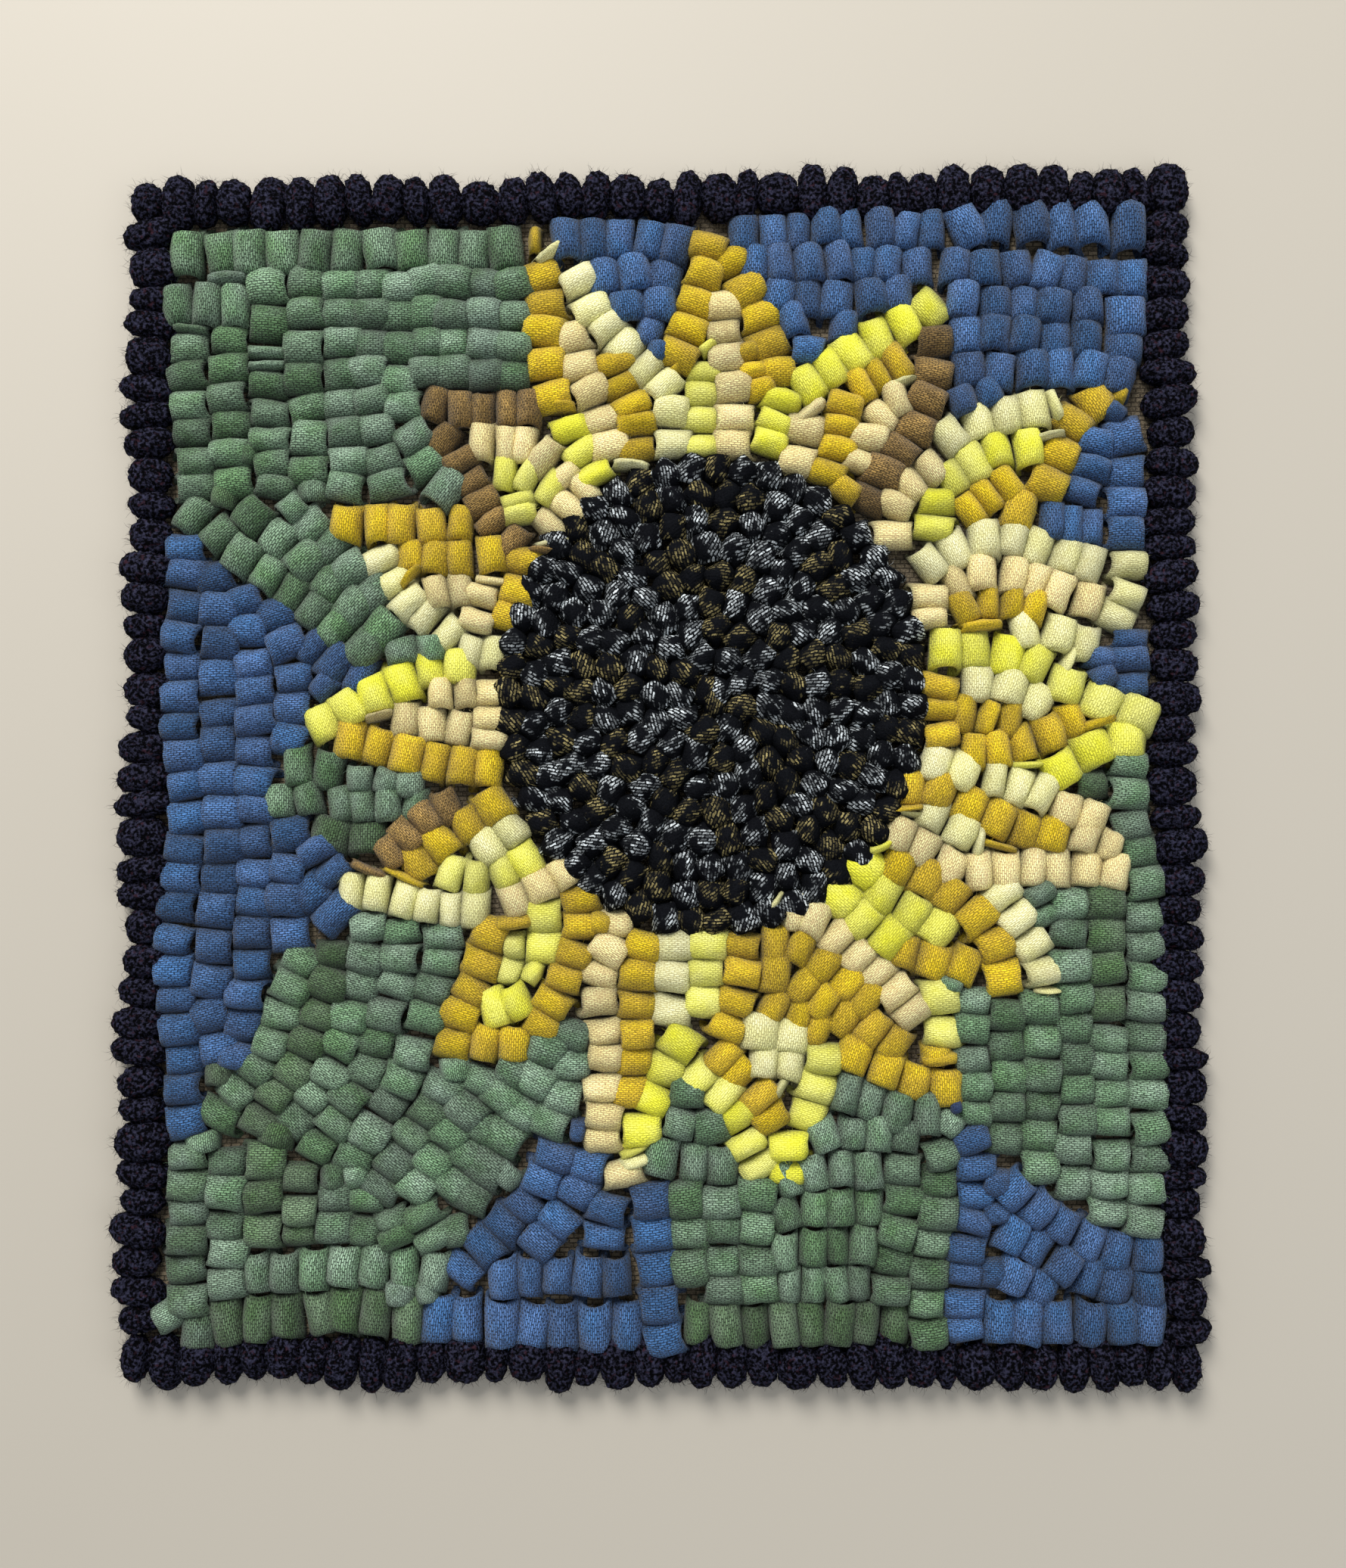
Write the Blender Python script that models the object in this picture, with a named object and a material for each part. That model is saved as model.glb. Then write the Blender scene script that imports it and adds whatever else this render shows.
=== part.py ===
"""A small hand-hooked wool mat with a sunflower on it, lying flat.

The mat is a linen foundation cloth with wool strips hooked through it. Each area of one
subject (the seed head, a petal, a leaf, a patch of sky) is one solid here: a thick pile of
loops on top, a thin layer of strip on the back, and a peg through the cloth that joins
the two, as the legs of the loops do. Bulky yarn is whipped round the cloth's four edges.
Units are metres, +Z is up, +Y is the top of the picture. The origin is at the middle of
the mat, on the surface that it lies on.
"""

import math

import bmesh
import bpy
from mathutils import Vector

MM = 0.001

# Driving dimensions
MAT_WIDTH = 216 * MM  # along X, over the whipping
MAT_LENGTH = 247 * MM  # along Y, over the whipping
PILE_TOP = 8.8 * MM  # top of the loops
BACK_LAYER = 1.1 * MM  # strip on the back of the cloth
LINEN_BOTTOM = 1.4 * MM
LINEN_TOP = 2.3 * MM
GAP = 0.3 * MM  # kept between solids that touch on the real mat
WHIPPING_HEIGHT = 8.2 * MM
HEM = 3.6 * MM  # cloth that lies inside the whipping
PEG_RADIUS = 2.0 * MM
CORNER_RADIUS = 7 * MM
SCALLOP = 1.2 * MM  # how far the yarn bulges between two stitches
STITCH_PITCH = 6.4 * MM

# Pattern places are in millimetres, from a point that lies left of and below the middle
PATTERN_SHIFT = Vector((2.0, -1.5))

# Corners of the hooked field, anticlockwise from bottom left
FIELD = [(-103, -111), (98.5, -112.5), (96.5, 117.5), (-102.5, 114.5)]

HEAD_CENTRE = (8, 18.5)
HEAD_HALF_WIDTH = 42.3
HEAD_HALF_LENGTH = 47.5
HEAD_SIDES = 40

# Petals: name, colour, peg, outline. A petal runs on under the seed head, which trims it
PETALS = [
    ("petal_nnw", "cream", (-22, 88), [
        (-30, 118), (-26, 111), (-21, 106.5), (-16.5, 105), (-13, 96), (-9, 95), (-6, 89),
        (-2.5, 86), (2.5, 81), (3, 66), (4, 58), (-17, 56), (-23.5, 65), (-24, 74),
        (-29.5, 78)]),
    ("petal_n", "gold", (10, 90), [
        (5, 118), (11, 118), (14, 109), (17, 100), (21, 97), (23.5, 90), (25.5, 80),
        (22.5, 58), (4, 58), (3, 66), (2.5, 81), (-2.5, 86), (0, 95), (2.5, 110)]),
    ("petal_nne", "gold", (40, 84), [
        (24, 84.5), (30, 89), (37, 94.5), (47, 99.5), (53, 103), (56, 99), (57, 90),
        (56.5, 75), (47, 62), (38, 48), (22.5, 58), (25.5, 80)]),
    ("petal_ne", "butter", (68, 68), [
        (51, 68), (56, 74), (63, 78), (79, 80.5), (86, 82), (92.5, 79), (83, 69),
        (80, 61), (75, 53), (60, 52), (50, 46.5), (40, 38), (38, 48), (47, 62)]),
    ("petal_ene", "cream", (70, 42), [
        (50, 46.5), (57, 51.5), (67, 54), (77, 52), (86, 48.5), (95, 47.5), (96.5, 40),
        (91, 28), (86, 25.5), (70, 29.5), (60, 31), (50, 30), (40, 30), (40, 38)]),
    ("petal_e", "lemon", (68, 17), [
        (50, 30), (60, 31), (70, 29.5), (79, 26.5), (84, 21), (92, 18), (98, 15.5),
        (96, 8), (88, 5), (81, -0.5), (76, 2), (61, 4), (50, 8.5), (40, 12), (40, 30)]),
    ("petal_ese", "gold", (66, -8), [
        (50, 8.5), (61, 4), (76, 1), (87, -4.5), (92, -13), (92.5, -20.5), (75, -20.5),
        (62, -21.5), (51, -17.5), (47, -13), (40, -11.5), (34, -6), (40, 12)]),
    ("petal_se", "gold", (56, -30), [
        (40, -11.5), (47, -13), (51, -17.5), (62, -21.5), (68, -20), (76, -31), (79, -38),
        (77, -41), (66, -42.5), (61, -40), (49, -38.5), (39, -30), (28, -20), (22, -12),
        (34, -6)]),
    ("petal_sse", "gold", (38, -45), [
        (28, -20), (39, -30), (49, -39), (58, -41), (58.5, -50), (57, -56), (59, -60),
        (57, -64), (48, -64), (42, -61.5), (35, -57), (33, -52), (25, -50), (17, -45),
        (17, -20), (22, -12)]),
    ("petal_s", "lemon", (22, -65), [
        (10, -22), (10.5, -46), (6, -49), (5.5, -55), (1.5, -58), (3, -60.5), (11, -69),
        (11, -74), (15, -78), (26, -81), (27.5, -76), (29, -70), (31, -62), (33.5, -57),
        (33, -52), (25, -50), (17, -45), (17, -20)]),
    ("petal_ssw", "peach", (-12, -50), [
        (-15, -22), (-16.5, -36), (-19, -44), (-17, -50), (-18, -72), (-12, -76),
        (-13, -81), (-6, -81.5), (-5.5, -73.5), (-3, -72), (1.5, -58), (5.5, -55),
        (6, -49), (10.5, -46), (10, -22)]),
    ("petal_sw", "gold", (-33, -40), [
        (-15, -22), (-16.5, -36), (-19.5, -44), (-25, -52), (-35, -54), (-44, -57),
        (-48, -54), (-50.5, -50), (-47, -43), (-43.5, -42), (-41, -29), (-36, -26),
        (-32, -21), (-24, -13), (-18, -12)]),
    ("petal_wsw", "cream", (-47, -17), [
        (-28, 0), (-40, 0), (-47, -1), (-57, -8.5), (-65, -17), (-69, -19), (-64, -25),
        (-57, -25), (-47, -28), (-41, -29.5), (-36, -26), (-32, -21), (-24, -13),
        (-18, -12)]),
    ("petal_w", "gold", (-50, 14), [
        (-28, 22), (-38, 23.5), (-41, 27.5), (-46, 27.5), (-53, 25), (-66, 18), (-72, 16),
        (-76, 12), (-74, 8), (-60, 3.5), (-48, 0), (-28, 0)]),
    ("petal_wnw", "gold", (-47, 45), [
        (-28, 22), (-38, 23.5), (-41, 27.5), (-46, 27), (-55, 34), (-59, 40), (-64, 45),
        (-68, 49), (-69.5, 55), (-66, 57), (-42, 57), (-38, 50), (-27, 44), (-20, 38)]),
    ("petal_nw", "brown", (-34, 66), [
        (-52, 80.5), (-29.5, 80.5), (-29.5, 78), (-24, 74), (-23.5, 65), (-17, 56),
        (-10, 50), (-20, 38), (-27, 44), (-38, 50), (-42, 57), (-50, 70), (-53, 77)]),
]

# Leaves run on under the petals, and the sky under both
LEAVES = [
    ("leaf_upper_left", "green", (-80, 85), [
        (-110, 120), (-30, 120), (-28, 78), (-40, 60), (-50, 45), (-44, 26), (-52, 24),
        (-59, 21), (-70, 28), (-82, 38.5), (-90, 43.5), (-96, 50), (-110, 53)]),
    ("leaf_small_left", "sage", (-67, -3), [
        (-75, 7), (-60, 5), (-44, 1), (-44, -3), (-60, -12), (-64, -16), (-70, -13),
        (-73, -8), (-80, -5.5), (-83, -3.5), (-78, 3)]),
    ("leaf_lower_left", "green", (-70, -70), [
        (-60, -22), (-66, -27), (-77, -34), (-82, -45), (-86, -57), (-92, -60), (-96, -71),
        (-110, -72), (-110, -120), (-52, -120), (-51, -104), (-45, -99), (-42, -92),
        (-30, -79), (-25, -71), (-17, -66), (-16, -44), (-30, -38), (-40, -26)]),
    ("leaf_bottom", "sage", (30, -90), [
        (1, -54), (-5, -76), (-1, -82), (0, -100), (4, -108), (4.5, -120), (55, -120),
        (55, -90), (58, -83), (57.5, -66), (55, -61), (40, -56), (28, -54), (16, -62)]),
    ("leaf_right", "sage", (82, -55), [
        (82, 2), (90, 10), (105, 6), (105, -91), (92, -91.5), (78, -83), (66, -76),
        (58, -68), (57.8, -64), (55, -42), (52, -37), (70, -36), (74, -20), (88, -14),
        (84, -3)]),
]

SKIES = [
    ("sky_left", "blue", (-90, -10), [
        (-110, 54), (-96, 50.5), (-82, 39), (-70, 28.5), (-58, 20), (-66, 13), (-70, 4),
        (-74, 0), (-70, -8), (-60, -12), (-60, -22), (-64, -27), (-76, -34), (-85, -55),
        (-95, -68), (-110, -73)]),
    ("sky_top", "blue", (-8, 103), [
        (-30, 120), (8, 120), (6, 104), (3, 88), (-2, 84), (-8, 88), (-16, 98), (-22, 104)]),
    ("sky_top_right", "blue", (60, 95), [
        (9, 120), (105, 120), (105, 79), (88, 79), (70, 76), (56, 72), (54, 80), (50, 96),
        (38, 92), (28, 85), (22, 82), (16, 96), (10, 108)]),
    ("sky_right_upper", "blue", (88, 60), [
        (85, 78), (105, 79.3), (105, 44), (90, 46), (72, 50), (76, 58), (80, 66)]),
    ("sky_right_lower", "blue", (93, 24), [
        (83, 24), (90, 29), (94, 37), (105, 37), (105, 13), (92, 16)]),
    ("sky_bottom", "blue", (-20, -95), [
        (-17, -64), (-8, -74), (-4, -74), (-1, -80), (2, -92), (5, -104), (5, -120),
        (-54, -120), (-53, -104), (-46, -98), (-30, -78), (-25, -69)]),
    ("sky_bottom_right", "blue", (75, -100), [
        (57, -69), (60, -69), (66, -74), (92, -90), (105, -90), (105, -120), (54, -120),
        (54, -88), (57, -82), (56.5, -74)]),
]

# Base colours of the wool and the cloth, linear RGB
COLOURS = {
    "tweed": (0.030, 0.034, 0.042),
    "navy": (0.008, 0.007, 0.018),
    "linen": (0.52, 0.42, 0.29),
    "gold": (0.60, 0.38, 0.025),
    "lemon": (0.80, 0.72, 0.06),
    "butter": (0.78, 0.76, 0.22),
    "cream": (0.78, 0.70, 0.42),
    "peach": (0.75, 0.54, 0.30),
    "brown": (0.24, 0.12, 0.05),
    "green": (0.14, 0.23, 0.09),
    "sage": (0.19, 0.30, 0.22),
    "blue": (0.075, 0.16, 0.34),
}
WOOL_ROUGHNESS = 0.92


def clear_scene():
    """Remove every object that the scene starts with."""
    for old in list(bpy.data.objects):
        bpy.data.objects.remove(old, do_unlink=True)


def place(point):
    """A pattern point, in millimetres, as metres from the mat's middle."""
    return (Vector(point) + PATTERN_SHIFT) * MM


def placed(points):
    """An outline in metres, wound anticlockwise."""
    outline = [place(p) for p in points]
    following = outline[1:] + outline[:1]
    area = sum(a.x * b.y - b.x * a.y for a, b in zip(outline, following))
    return outline if area > 0 else outline[::-1]


def grown(outline, distance):
    """The anticlockwise outline moved outwards by distance, with its mitres kept short."""
    moved = []
    count = len(outline)
    for i, point in enumerate(outline):
        before = (point - outline[i - 1]).normalized()
        after = (outline[(i + 1) % count] - point).normalized()
        side_before = Vector((before.y, -before.x))
        side_after = Vector((after.y, -after.x))
        mitre = (side_before + side_after).normalized()
        reach = min(1 / max(mitre.dot(side_after), 0.35), 2.5)
        moved.append(point + mitre * distance * reach)
    return moved


def ellipse(centre, half_width, half_length, sides):
    """Pattern points round an ellipse."""
    turns = [2 * math.pi * i / sides for i in range(sides)]
    return [
        (centre[0] + half_width * math.cos(t), centre[1] + half_length * math.sin(t))
        for t in turns
    ]


def material(name, roughness=WOOL_ROUGHNESS):
    """A plain dyed-wool or cloth material of that colour, made once."""
    if name in bpy.data.materials:
        return bpy.data.materials[name]
    made = bpy.data.materials.new(name)
    made.use_nodes = True
    shader = made.node_tree.nodes["Principled BSDF"]
    shader.inputs["Base Color"].default_value = (*COLOURS[name], 1)
    shader.inputs["Roughness"].default_value = roughness
    shader.inputs["Metallic"].default_value = 0
    return made


def prism(name, outline, low, high):
    """A closed solid with this outline, between two heights."""
    shape = bmesh.new()
    corners = [shape.verts.new((p.x, p.y, low)) for p in outline]
    base = shape.faces.new(corners)
    raised = bmesh.ops.extrude_face_region(shape, geom=[base])["geom"]
    lifted = [v for v in raised if isinstance(v, bmesh.types.BMVert)]
    bmesh.ops.translate(shape, verts=lifted, vec=(0, 0, high - low))
    bmesh.ops.recalc_face_normals(shape, faces=shape.faces)
    mesh = bpy.data.meshes.new(name)
    shape.to_mesh(mesh)
    shape.free()
    made = bpy.data.objects.new(name, mesh)
    bpy.context.scene.collection.objects.link(made)
    return made


def cutter(name, outline, low=-1 * MM, high=10 * MM):
    """A hidden prism that only trims other solids."""
    made = prism(name, outline, low, high)
    made.hide_render = True
    made.display_type = "WIRE"
    return made


def group(name, members):
    """A collection of cutters that trim together."""
    made = bpy.data.collections.new(name)
    bpy.context.scene.collection.children.link(made)
    for member in members:
        made.objects.link(member)
    return made


def trim(solid, operation, by):
    """Add a Boolean by one object or by a collection of them."""
    step = solid.modifiers.new(operation.lower(), "BOOLEAN")
    step.operation = operation
    step.solver = "EXACT"
    if isinstance(by, bpy.types.Collection):
        step.operand_type = "COLLECTION"
        step.collection = by
    else:
        step.object = by


def overlaps(a, b, margin=1 * MM):
    """Whether two outlines' boxes meet."""
    return all(
        min(p[i] for p in a) - margin < max(p[i] for p in b)
        and min(p[i] for p in b) - margin < max(p[i] for p in a)
        for i in (0, 1)
    )


def peg_outline(peg, radius):
    """An eight-sided outline round a peg's place."""
    middle = place(peg)
    turns = [2 * math.pi * (i + 0.5) / 8 for i in range(8)]
    return [middle + Vector((math.cos(t), math.sin(t))) * radius for t in turns]


def make_wool_areas(areas, field, linen_slot):
    """Each area is trimmed by the field's edge and by the areas before it."""
    earlier = []
    for name, colour, _, points in areas:
        outline = placed(points)
        solid = prism(name, outline, 0, PILE_TOP)
        solid.data.materials.append(material(colour))
        trim(solid, "INTERSECT", field)
        near = [shape for shape, edge in earlier if overlaps(edge, outline)]
        if near:
            trim(solid, "DIFFERENCE", group("around_" + name, near))
        trim(solid, "DIFFERENCE", linen_slot)
        earlier.append((cutter("space_" + name, grown(outline, GAP)), outline))


def make_linen(field_outline, areas):
    """The foundation cloth, with a hole for each peg, and the slot that it lies in."""
    pegs = [
        cutter("peg_" + name, peg_outline(peg, PEG_RADIUS)) for name, _, peg, _ in areas
    ]
    holes = [
        cutter("hole_" + name, peg_outline(peg, PEG_RADIUS + GAP))
        for name, _, peg, _ in areas
    ]
    linen = prism("linen_foundation", grown(field_outline, HEM), LINEN_BOTTOM, LINEN_TOP)
    linen.data.materials.append(material("linen", 0.95))
    trim(linen, "DIFFERENCE", group("peg_holes", holes))
    slot = cutter(
        "linen_slot", grown(field_outline, HEM + GAP), BACK_LAYER, LINEN_TOP + GAP
    )
    trim(slot, "DIFFERENCE", group("pegs", pegs))
    return slot


def scalloped(start, end):
    """Points from start to end along an edge that bulges once for each stitch."""
    along = end - start
    inwards = Vector((-along.y, along.x)).normalized() * SCALLOP
    count = round(along.length / STITCH_PITCH)
    points = []
    for stitch in range(count):
        for third in range(3):
            point = start + along * (stitch + third / 3) / count
            points.append(point + inwards if third == 0 else point)
    return points


def rounded_corner(centre, start_angle):
    """Points round a quarter circle, anticlockwise."""
    turns = [math.radians(start_angle + step) for step in (0, 22.5, 45, 67.5, 90)]
    return [centre + Vector((math.cos(t), math.sin(t))) * CORNER_RADIUS for t in turns]


def make_whipping(field_outline, linen_slot):
    """Bulky yarn round the four edges: top and bottom run the full width."""
    low_left, low_right, top_right, top_left = field_outline
    half = Vector((MAT_WIDTH / 2, MAT_LENGTH / 2))
    inset = half - Vector((CORNER_RADIUS, CORNER_RADIUS))

    def edge_height(a, b, x):
        return a.y + (b.y - a.y) * (x - a.x) / (b.x - a.x)

    def at_side(a, b, x, lift):
        return Vector((x, edge_height(a, b, x) + lift))

    right_top = Vector((inset.x, inset.y))
    left_top = Vector((-inset.x, inset.y))
    left_low = Vector((-inset.x, -inset.y))
    right_low = Vector((inset.x, -inset.y))
    bars = {
        "whipping_top": [
            *scalloped(
                Vector((inset.x, half.y)) - Vector((0.1 * MM, 0)),
                Vector((-inset.x, half.y)) + Vector((0.1 * MM, 0)),
            ),
            *rounded_corner(left_top, 90),
            at_side(top_left, top_right, -half.x, 0),
            at_side(top_left, top_right, half.x, 0),
            *rounded_corner(right_top, 0)[:-1],
        ],
        "whipping_bottom": [
            *scalloped(
                Vector((-inset.x, -half.y)) + Vector((0.1 * MM, 0)),
                Vector((inset.x, -half.y)) - Vector((0.1 * MM, 0)),
            ),
            *rounded_corner(right_low, 270),
            at_side(low_left, low_right, half.x, 0),
            at_side(low_left, low_right, -half.x, 0),
            *rounded_corner(left_low, 180)[:-1],
        ],
        "whipping_left": [
            *scalloped(
                at_side(top_left, top_right, -half.x, -GAP),
                at_side(low_left, low_right, -half.x, GAP),
            ),
            at_side(low_left, low_right, -half.x, GAP),
            low_left + Vector((0, GAP)),
            top_left - Vector((0, GAP)),
        ],
        "whipping_right": [
            *scalloped(
                at_side(low_left, low_right, half.x, GAP),
                at_side(top_left, top_right, half.x, -GAP),
            ),
            at_side(top_left, top_right, half.x, -GAP),
            top_right - Vector((0, GAP)),
            low_right + Vector((0, GAP)),
        ],
    }
    for name, outline in bars.items():
        bar = prism(name, outline, 0, WHIPPING_HEIGHT)
        bar.data.materials.append(material("navy"))
        trim(bar, "DIFFERENCE", linen_slot)


def build():
    """Make the cloth, the hooked wool and the whipped edge."""
    clear_scene()
    field_outline = placed(FIELD)
    head_outline = ellipse(HEAD_CENTRE, HEAD_HALF_WIDTH, HEAD_HALF_LENGTH, HEAD_SIDES)
    head = ("seed_head", "tweed", HEAD_CENTRE, head_outline)
    areas = [head, *PETALS, *LEAVES, *SKIES]
    linen_slot = make_linen(field_outline, areas)
    field = cutter("field_inside", grown(field_outline, -GAP))
    make_wool_areas(areas, field, linen_slot)
    make_whipping(field_outline, linen_slot)


build()
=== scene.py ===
# %% [markdown]
# # A hand-hooked wool mat with a sunflower
#
# Rug hooking pulls strips of woven wool up in loops through the holes of a linen cloth.
# One strip makes a row of loops, its ends come up between the loops, and bulky yarn is
# whipped round the edge. The mat has well over a thousand loops, so the loops are the
# lesson here: one small shape, repeated along drawn rows.
#
# The first cell loads the imported solids. They stay as they are, and what is made below
# stands in their place.

# %%
import math
from functools import partial

import bmesh
import bpy
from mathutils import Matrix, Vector


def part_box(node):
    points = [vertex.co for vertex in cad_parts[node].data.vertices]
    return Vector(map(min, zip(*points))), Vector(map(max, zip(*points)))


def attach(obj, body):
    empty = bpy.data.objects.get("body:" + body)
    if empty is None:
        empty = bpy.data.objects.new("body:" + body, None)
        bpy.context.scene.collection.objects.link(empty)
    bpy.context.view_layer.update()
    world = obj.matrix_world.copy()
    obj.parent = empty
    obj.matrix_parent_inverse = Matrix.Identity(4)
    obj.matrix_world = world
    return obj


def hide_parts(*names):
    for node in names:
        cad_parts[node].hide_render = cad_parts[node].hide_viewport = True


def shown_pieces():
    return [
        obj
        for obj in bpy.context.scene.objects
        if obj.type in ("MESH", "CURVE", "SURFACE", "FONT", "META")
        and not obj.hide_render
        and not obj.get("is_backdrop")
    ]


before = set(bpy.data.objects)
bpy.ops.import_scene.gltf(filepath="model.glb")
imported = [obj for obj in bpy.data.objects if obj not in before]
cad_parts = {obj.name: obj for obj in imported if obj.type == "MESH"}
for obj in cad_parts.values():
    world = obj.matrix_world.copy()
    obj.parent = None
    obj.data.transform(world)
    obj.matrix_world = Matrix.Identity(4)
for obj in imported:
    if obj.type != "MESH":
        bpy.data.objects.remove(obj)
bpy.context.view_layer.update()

MM = 0.001
print("solids loaded:", len(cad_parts))

# %% [markdown]
# ## Floor, light and camera
#
# The mat lies flat and is seen from straight above, a hand's breadth over a ruler's length
# away, leaning back by less than two degrees. A soft lamp beyond the far edge shades the
# near side of each loop, which is what lets the eye read the pile. A weaker lamp and the
# world light fill the rest.

# %%
PATTERN_MIDDLE = Vector((2.0, -1.5, 0)) * MM  # where the drawing's own middle lies
CAMERA_HEIGHT = 318 * MM
CAMERA_LEAN = math.radians(1.58)
CAMERA_LENS = 36.5  # millimetres, on a sensor 36 mm along the long side

scene = bpy.context.scene
scene.view_settings.view_transform = "Standard"


def make_camera():
    """A camera over the mat, looking down and a little away."""
    lens = bpy.data.cameras.new("camera")
    lens.lens = CAMERA_LENS
    lens.clip_start = 0.01
    made = bpy.data.objects.new("camera", lens)
    scene.collection.objects.link(made)
    target = PATTERN_MIDDLE + Vector((0, 0, 8 * MM))
    sight = Vector((0, math.sin(CAMERA_LEAN), -math.cos(CAMERA_LEAN)))
    made.location = target - sight * CAMERA_HEIGHT
    made.rotation_euler = (CAMERA_LEAN, 0, 0)
    scene.camera = made


def make_lamp(name, place, size, watts, colour):
    """A square area lamp that faces the mat's middle."""
    lamp = bpy.data.lights.new(name, "AREA")
    lamp.size = size
    lamp.energy = watts
    lamp.color = colour
    made = bpy.data.objects.new(name, lamp)
    scene.collection.objects.link(made)
    made.location = place
    made.rotation_euler = (-Vector(place)).to_track_quat("-Z", "Y").to_euler()


def make_world(colour, strength):
    """Even light from all round."""
    world = bpy.data.worlds.new("studio")
    world.use_nodes = True
    background = world.node_tree.nodes["Background"]
    background.inputs["Color"].default_value = (*colour, 1)
    background.inputs["Strength"].default_value = strength
    scene.world = world


def make_floor(size, colour):
    """A plain pale floor just under the mat."""
    mesh = bpy.data.meshes.new("floor")
    reach = size / 2
    corners = [(-reach, -reach), (reach, -reach), (reach, reach), (-reach, reach)]
    mesh.from_pydata([(x, y, -0.2 * MM) for x, y in corners], [], [(0, 1, 2, 3)])
    material = bpy.data.materials.new("pale_floor")
    material.use_nodes = True
    shader = material.node_tree.nodes["Principled BSDF"]
    shader.inputs["Base Color"].default_value = (*colour, 1)
    shader.inputs["Roughness"].default_value = 0.6
    mesh.materials.append(material)
    made = bpy.data.objects.new("floor", mesh)
    scene.collection.objects.link(made)
    made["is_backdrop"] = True


make_camera()
make_lamp("key", (-0.30, 0.80, 0.85), 0.5, 17.2, (1.0, 0.97, 0.93))
make_lamp("fill", (0.7, -0.3, 0.9), 0.9, 3.2, (0.93, 0.96, 1.0))
make_world((0.95, 0.97, 1.0), 0.40)
make_floor(6, (0.475, 0.443, 0.38))
print("camera at", [round(v, 3) for v in scene.camera.location])

# %% [markdown]
# ## A short way to write nodes
#
# Both the shapes and the finishes below are node trees. Each needs the same few calls to
# add a node, set it and wire it, so these are said once.

# %%


def add(tree, kind, wires=None, **settings):
    """Add a node, with its settings, and give each socket named in wires a value or a link."""
    made = tree.nodes.new(kind)
    for name, value in settings.items():
        setattr(made, name, value)
    for socket, value in (wires or {}).items():
        if isinstance(value, bpy.types.NodeSocket):
            tree.links.new(value, made.inputs[socket])
        else:
            made.inputs[socket].default_value = value
    return made


def maths(tree, operation, *values, **settings):
    """The result of a Math node on these values."""
    wires = dict(enumerate(values))
    return add(tree, "ShaderNodeMath", wires, operation=operation, **settings).outputs[0]


def blend_colours(tree, factor, first, second):
    """The result of mixing two colours."""
    wires = {0: factor, 6: first, 7: second}
    made = add(tree, "ShaderNodeMix", wires, data_type="RGBA")
    return made.outputs[2]


def vector_maths(tree, operation, *values):
    """The vector that a Vector Math node makes."""
    made = add(tree, "ShaderNodeVectorMath", dict(enumerate(values)), operation=operation)
    return made.outputs[0]


def scaled(tree, vector, share):
    """A vector or colour times a number."""
    wires = {0: vector, "Scale": share}
    return add(tree, "ShaderNodeVectorMath", wires, operation="SCALE").outputs[0]


def noise(tree, place, scale, detail, output="Fac"):
    """A noise over place, as a number or as a colour."""
    wires = {"Vector": place, "Scale": scale, "Detail": detail}
    return add(tree, "ShaderNodeTexNoise", wires).outputs[output]


def interface(tree, direction, sockets):
    """Give a tree its named inputs or outputs: name to kind, or name to (kind, value)."""
    for name, kind in sockets.items():
        kind, value = kind if isinstance(kind, tuple) else (kind, None)
        made = tree.interface.new_socket(name, in_out=direction, socket_type="NodeSocket" + kind)
        if value is not None:
            made.default_value = value


print("node helpers: add, maths, blend_colours, vector_maths, scaled, noise, interface")

# %% [markdown]
# ## Wool cloth
#
# The strips are cut from plain-weave wool that was washed until it felted a little. Close
# to, it shows short threads in staggered rows, blurred by fibres, and hand dyeing leaves
# patches of another strength. One node group holds that: bricks for the threads, bent by a
# noise, then two more noises for the fibres and the dye. Its threads follow the strip's own
# UV map, in millimetres, so they bend over each loop as real ones do. Deep between the
# loops hardly any light gets in, so the group also gives the height above the table, and
# the wools darken their colour low down with it: painted shade in the creases. Every
# wool below uses the group with its own colours.

# %%
THREAD_LENGTH = 1.15  # across the strip, in millimetres
THREAD_PITCH = 0.62  # along the strip, in millimetres
BEND_SCALE = 0.9  # of the noise that bends the threads, for each millimetre
FIBRE_SCALE = 2600.0  # of the fibres' noise, for each metre
DYE_SCALE = 190.0
# Painted shade: the wool's colour is darkened towards the table, deep in the creases between loops.
PAINTED_SHADE_RISE = 3.6 * MM  # over this height the cloth goes from shade to full colour
PAINTED_SHADE_LEVEL = 1.0  # up to here the shade is full, in crease depths above the table
PAINTED_CREASE_SHADE = 0.38  # how much colour the cloth keeps down there


def bricks(tree, place, length, pitch, gap, blur, darkest):
    """Staggered bricks that are darkest to white, with black gaps: threads, from close to."""
    return add(tree, "ShaderNodeTexBrick", {
        "Vector": place,
        "Color1": (darkest, darkest, darkest, 1),
        "Color2": (1, 1, 1, 1),
        "Mortar": (0, 0, 0, 1),
        "Scale": 1.0,
        "Mortar Size": gap,
        "Mortar Smooth": blur,
        "Brick Width": length,
        "Row Height": pitch,
    }).outputs["Color"]


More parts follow.
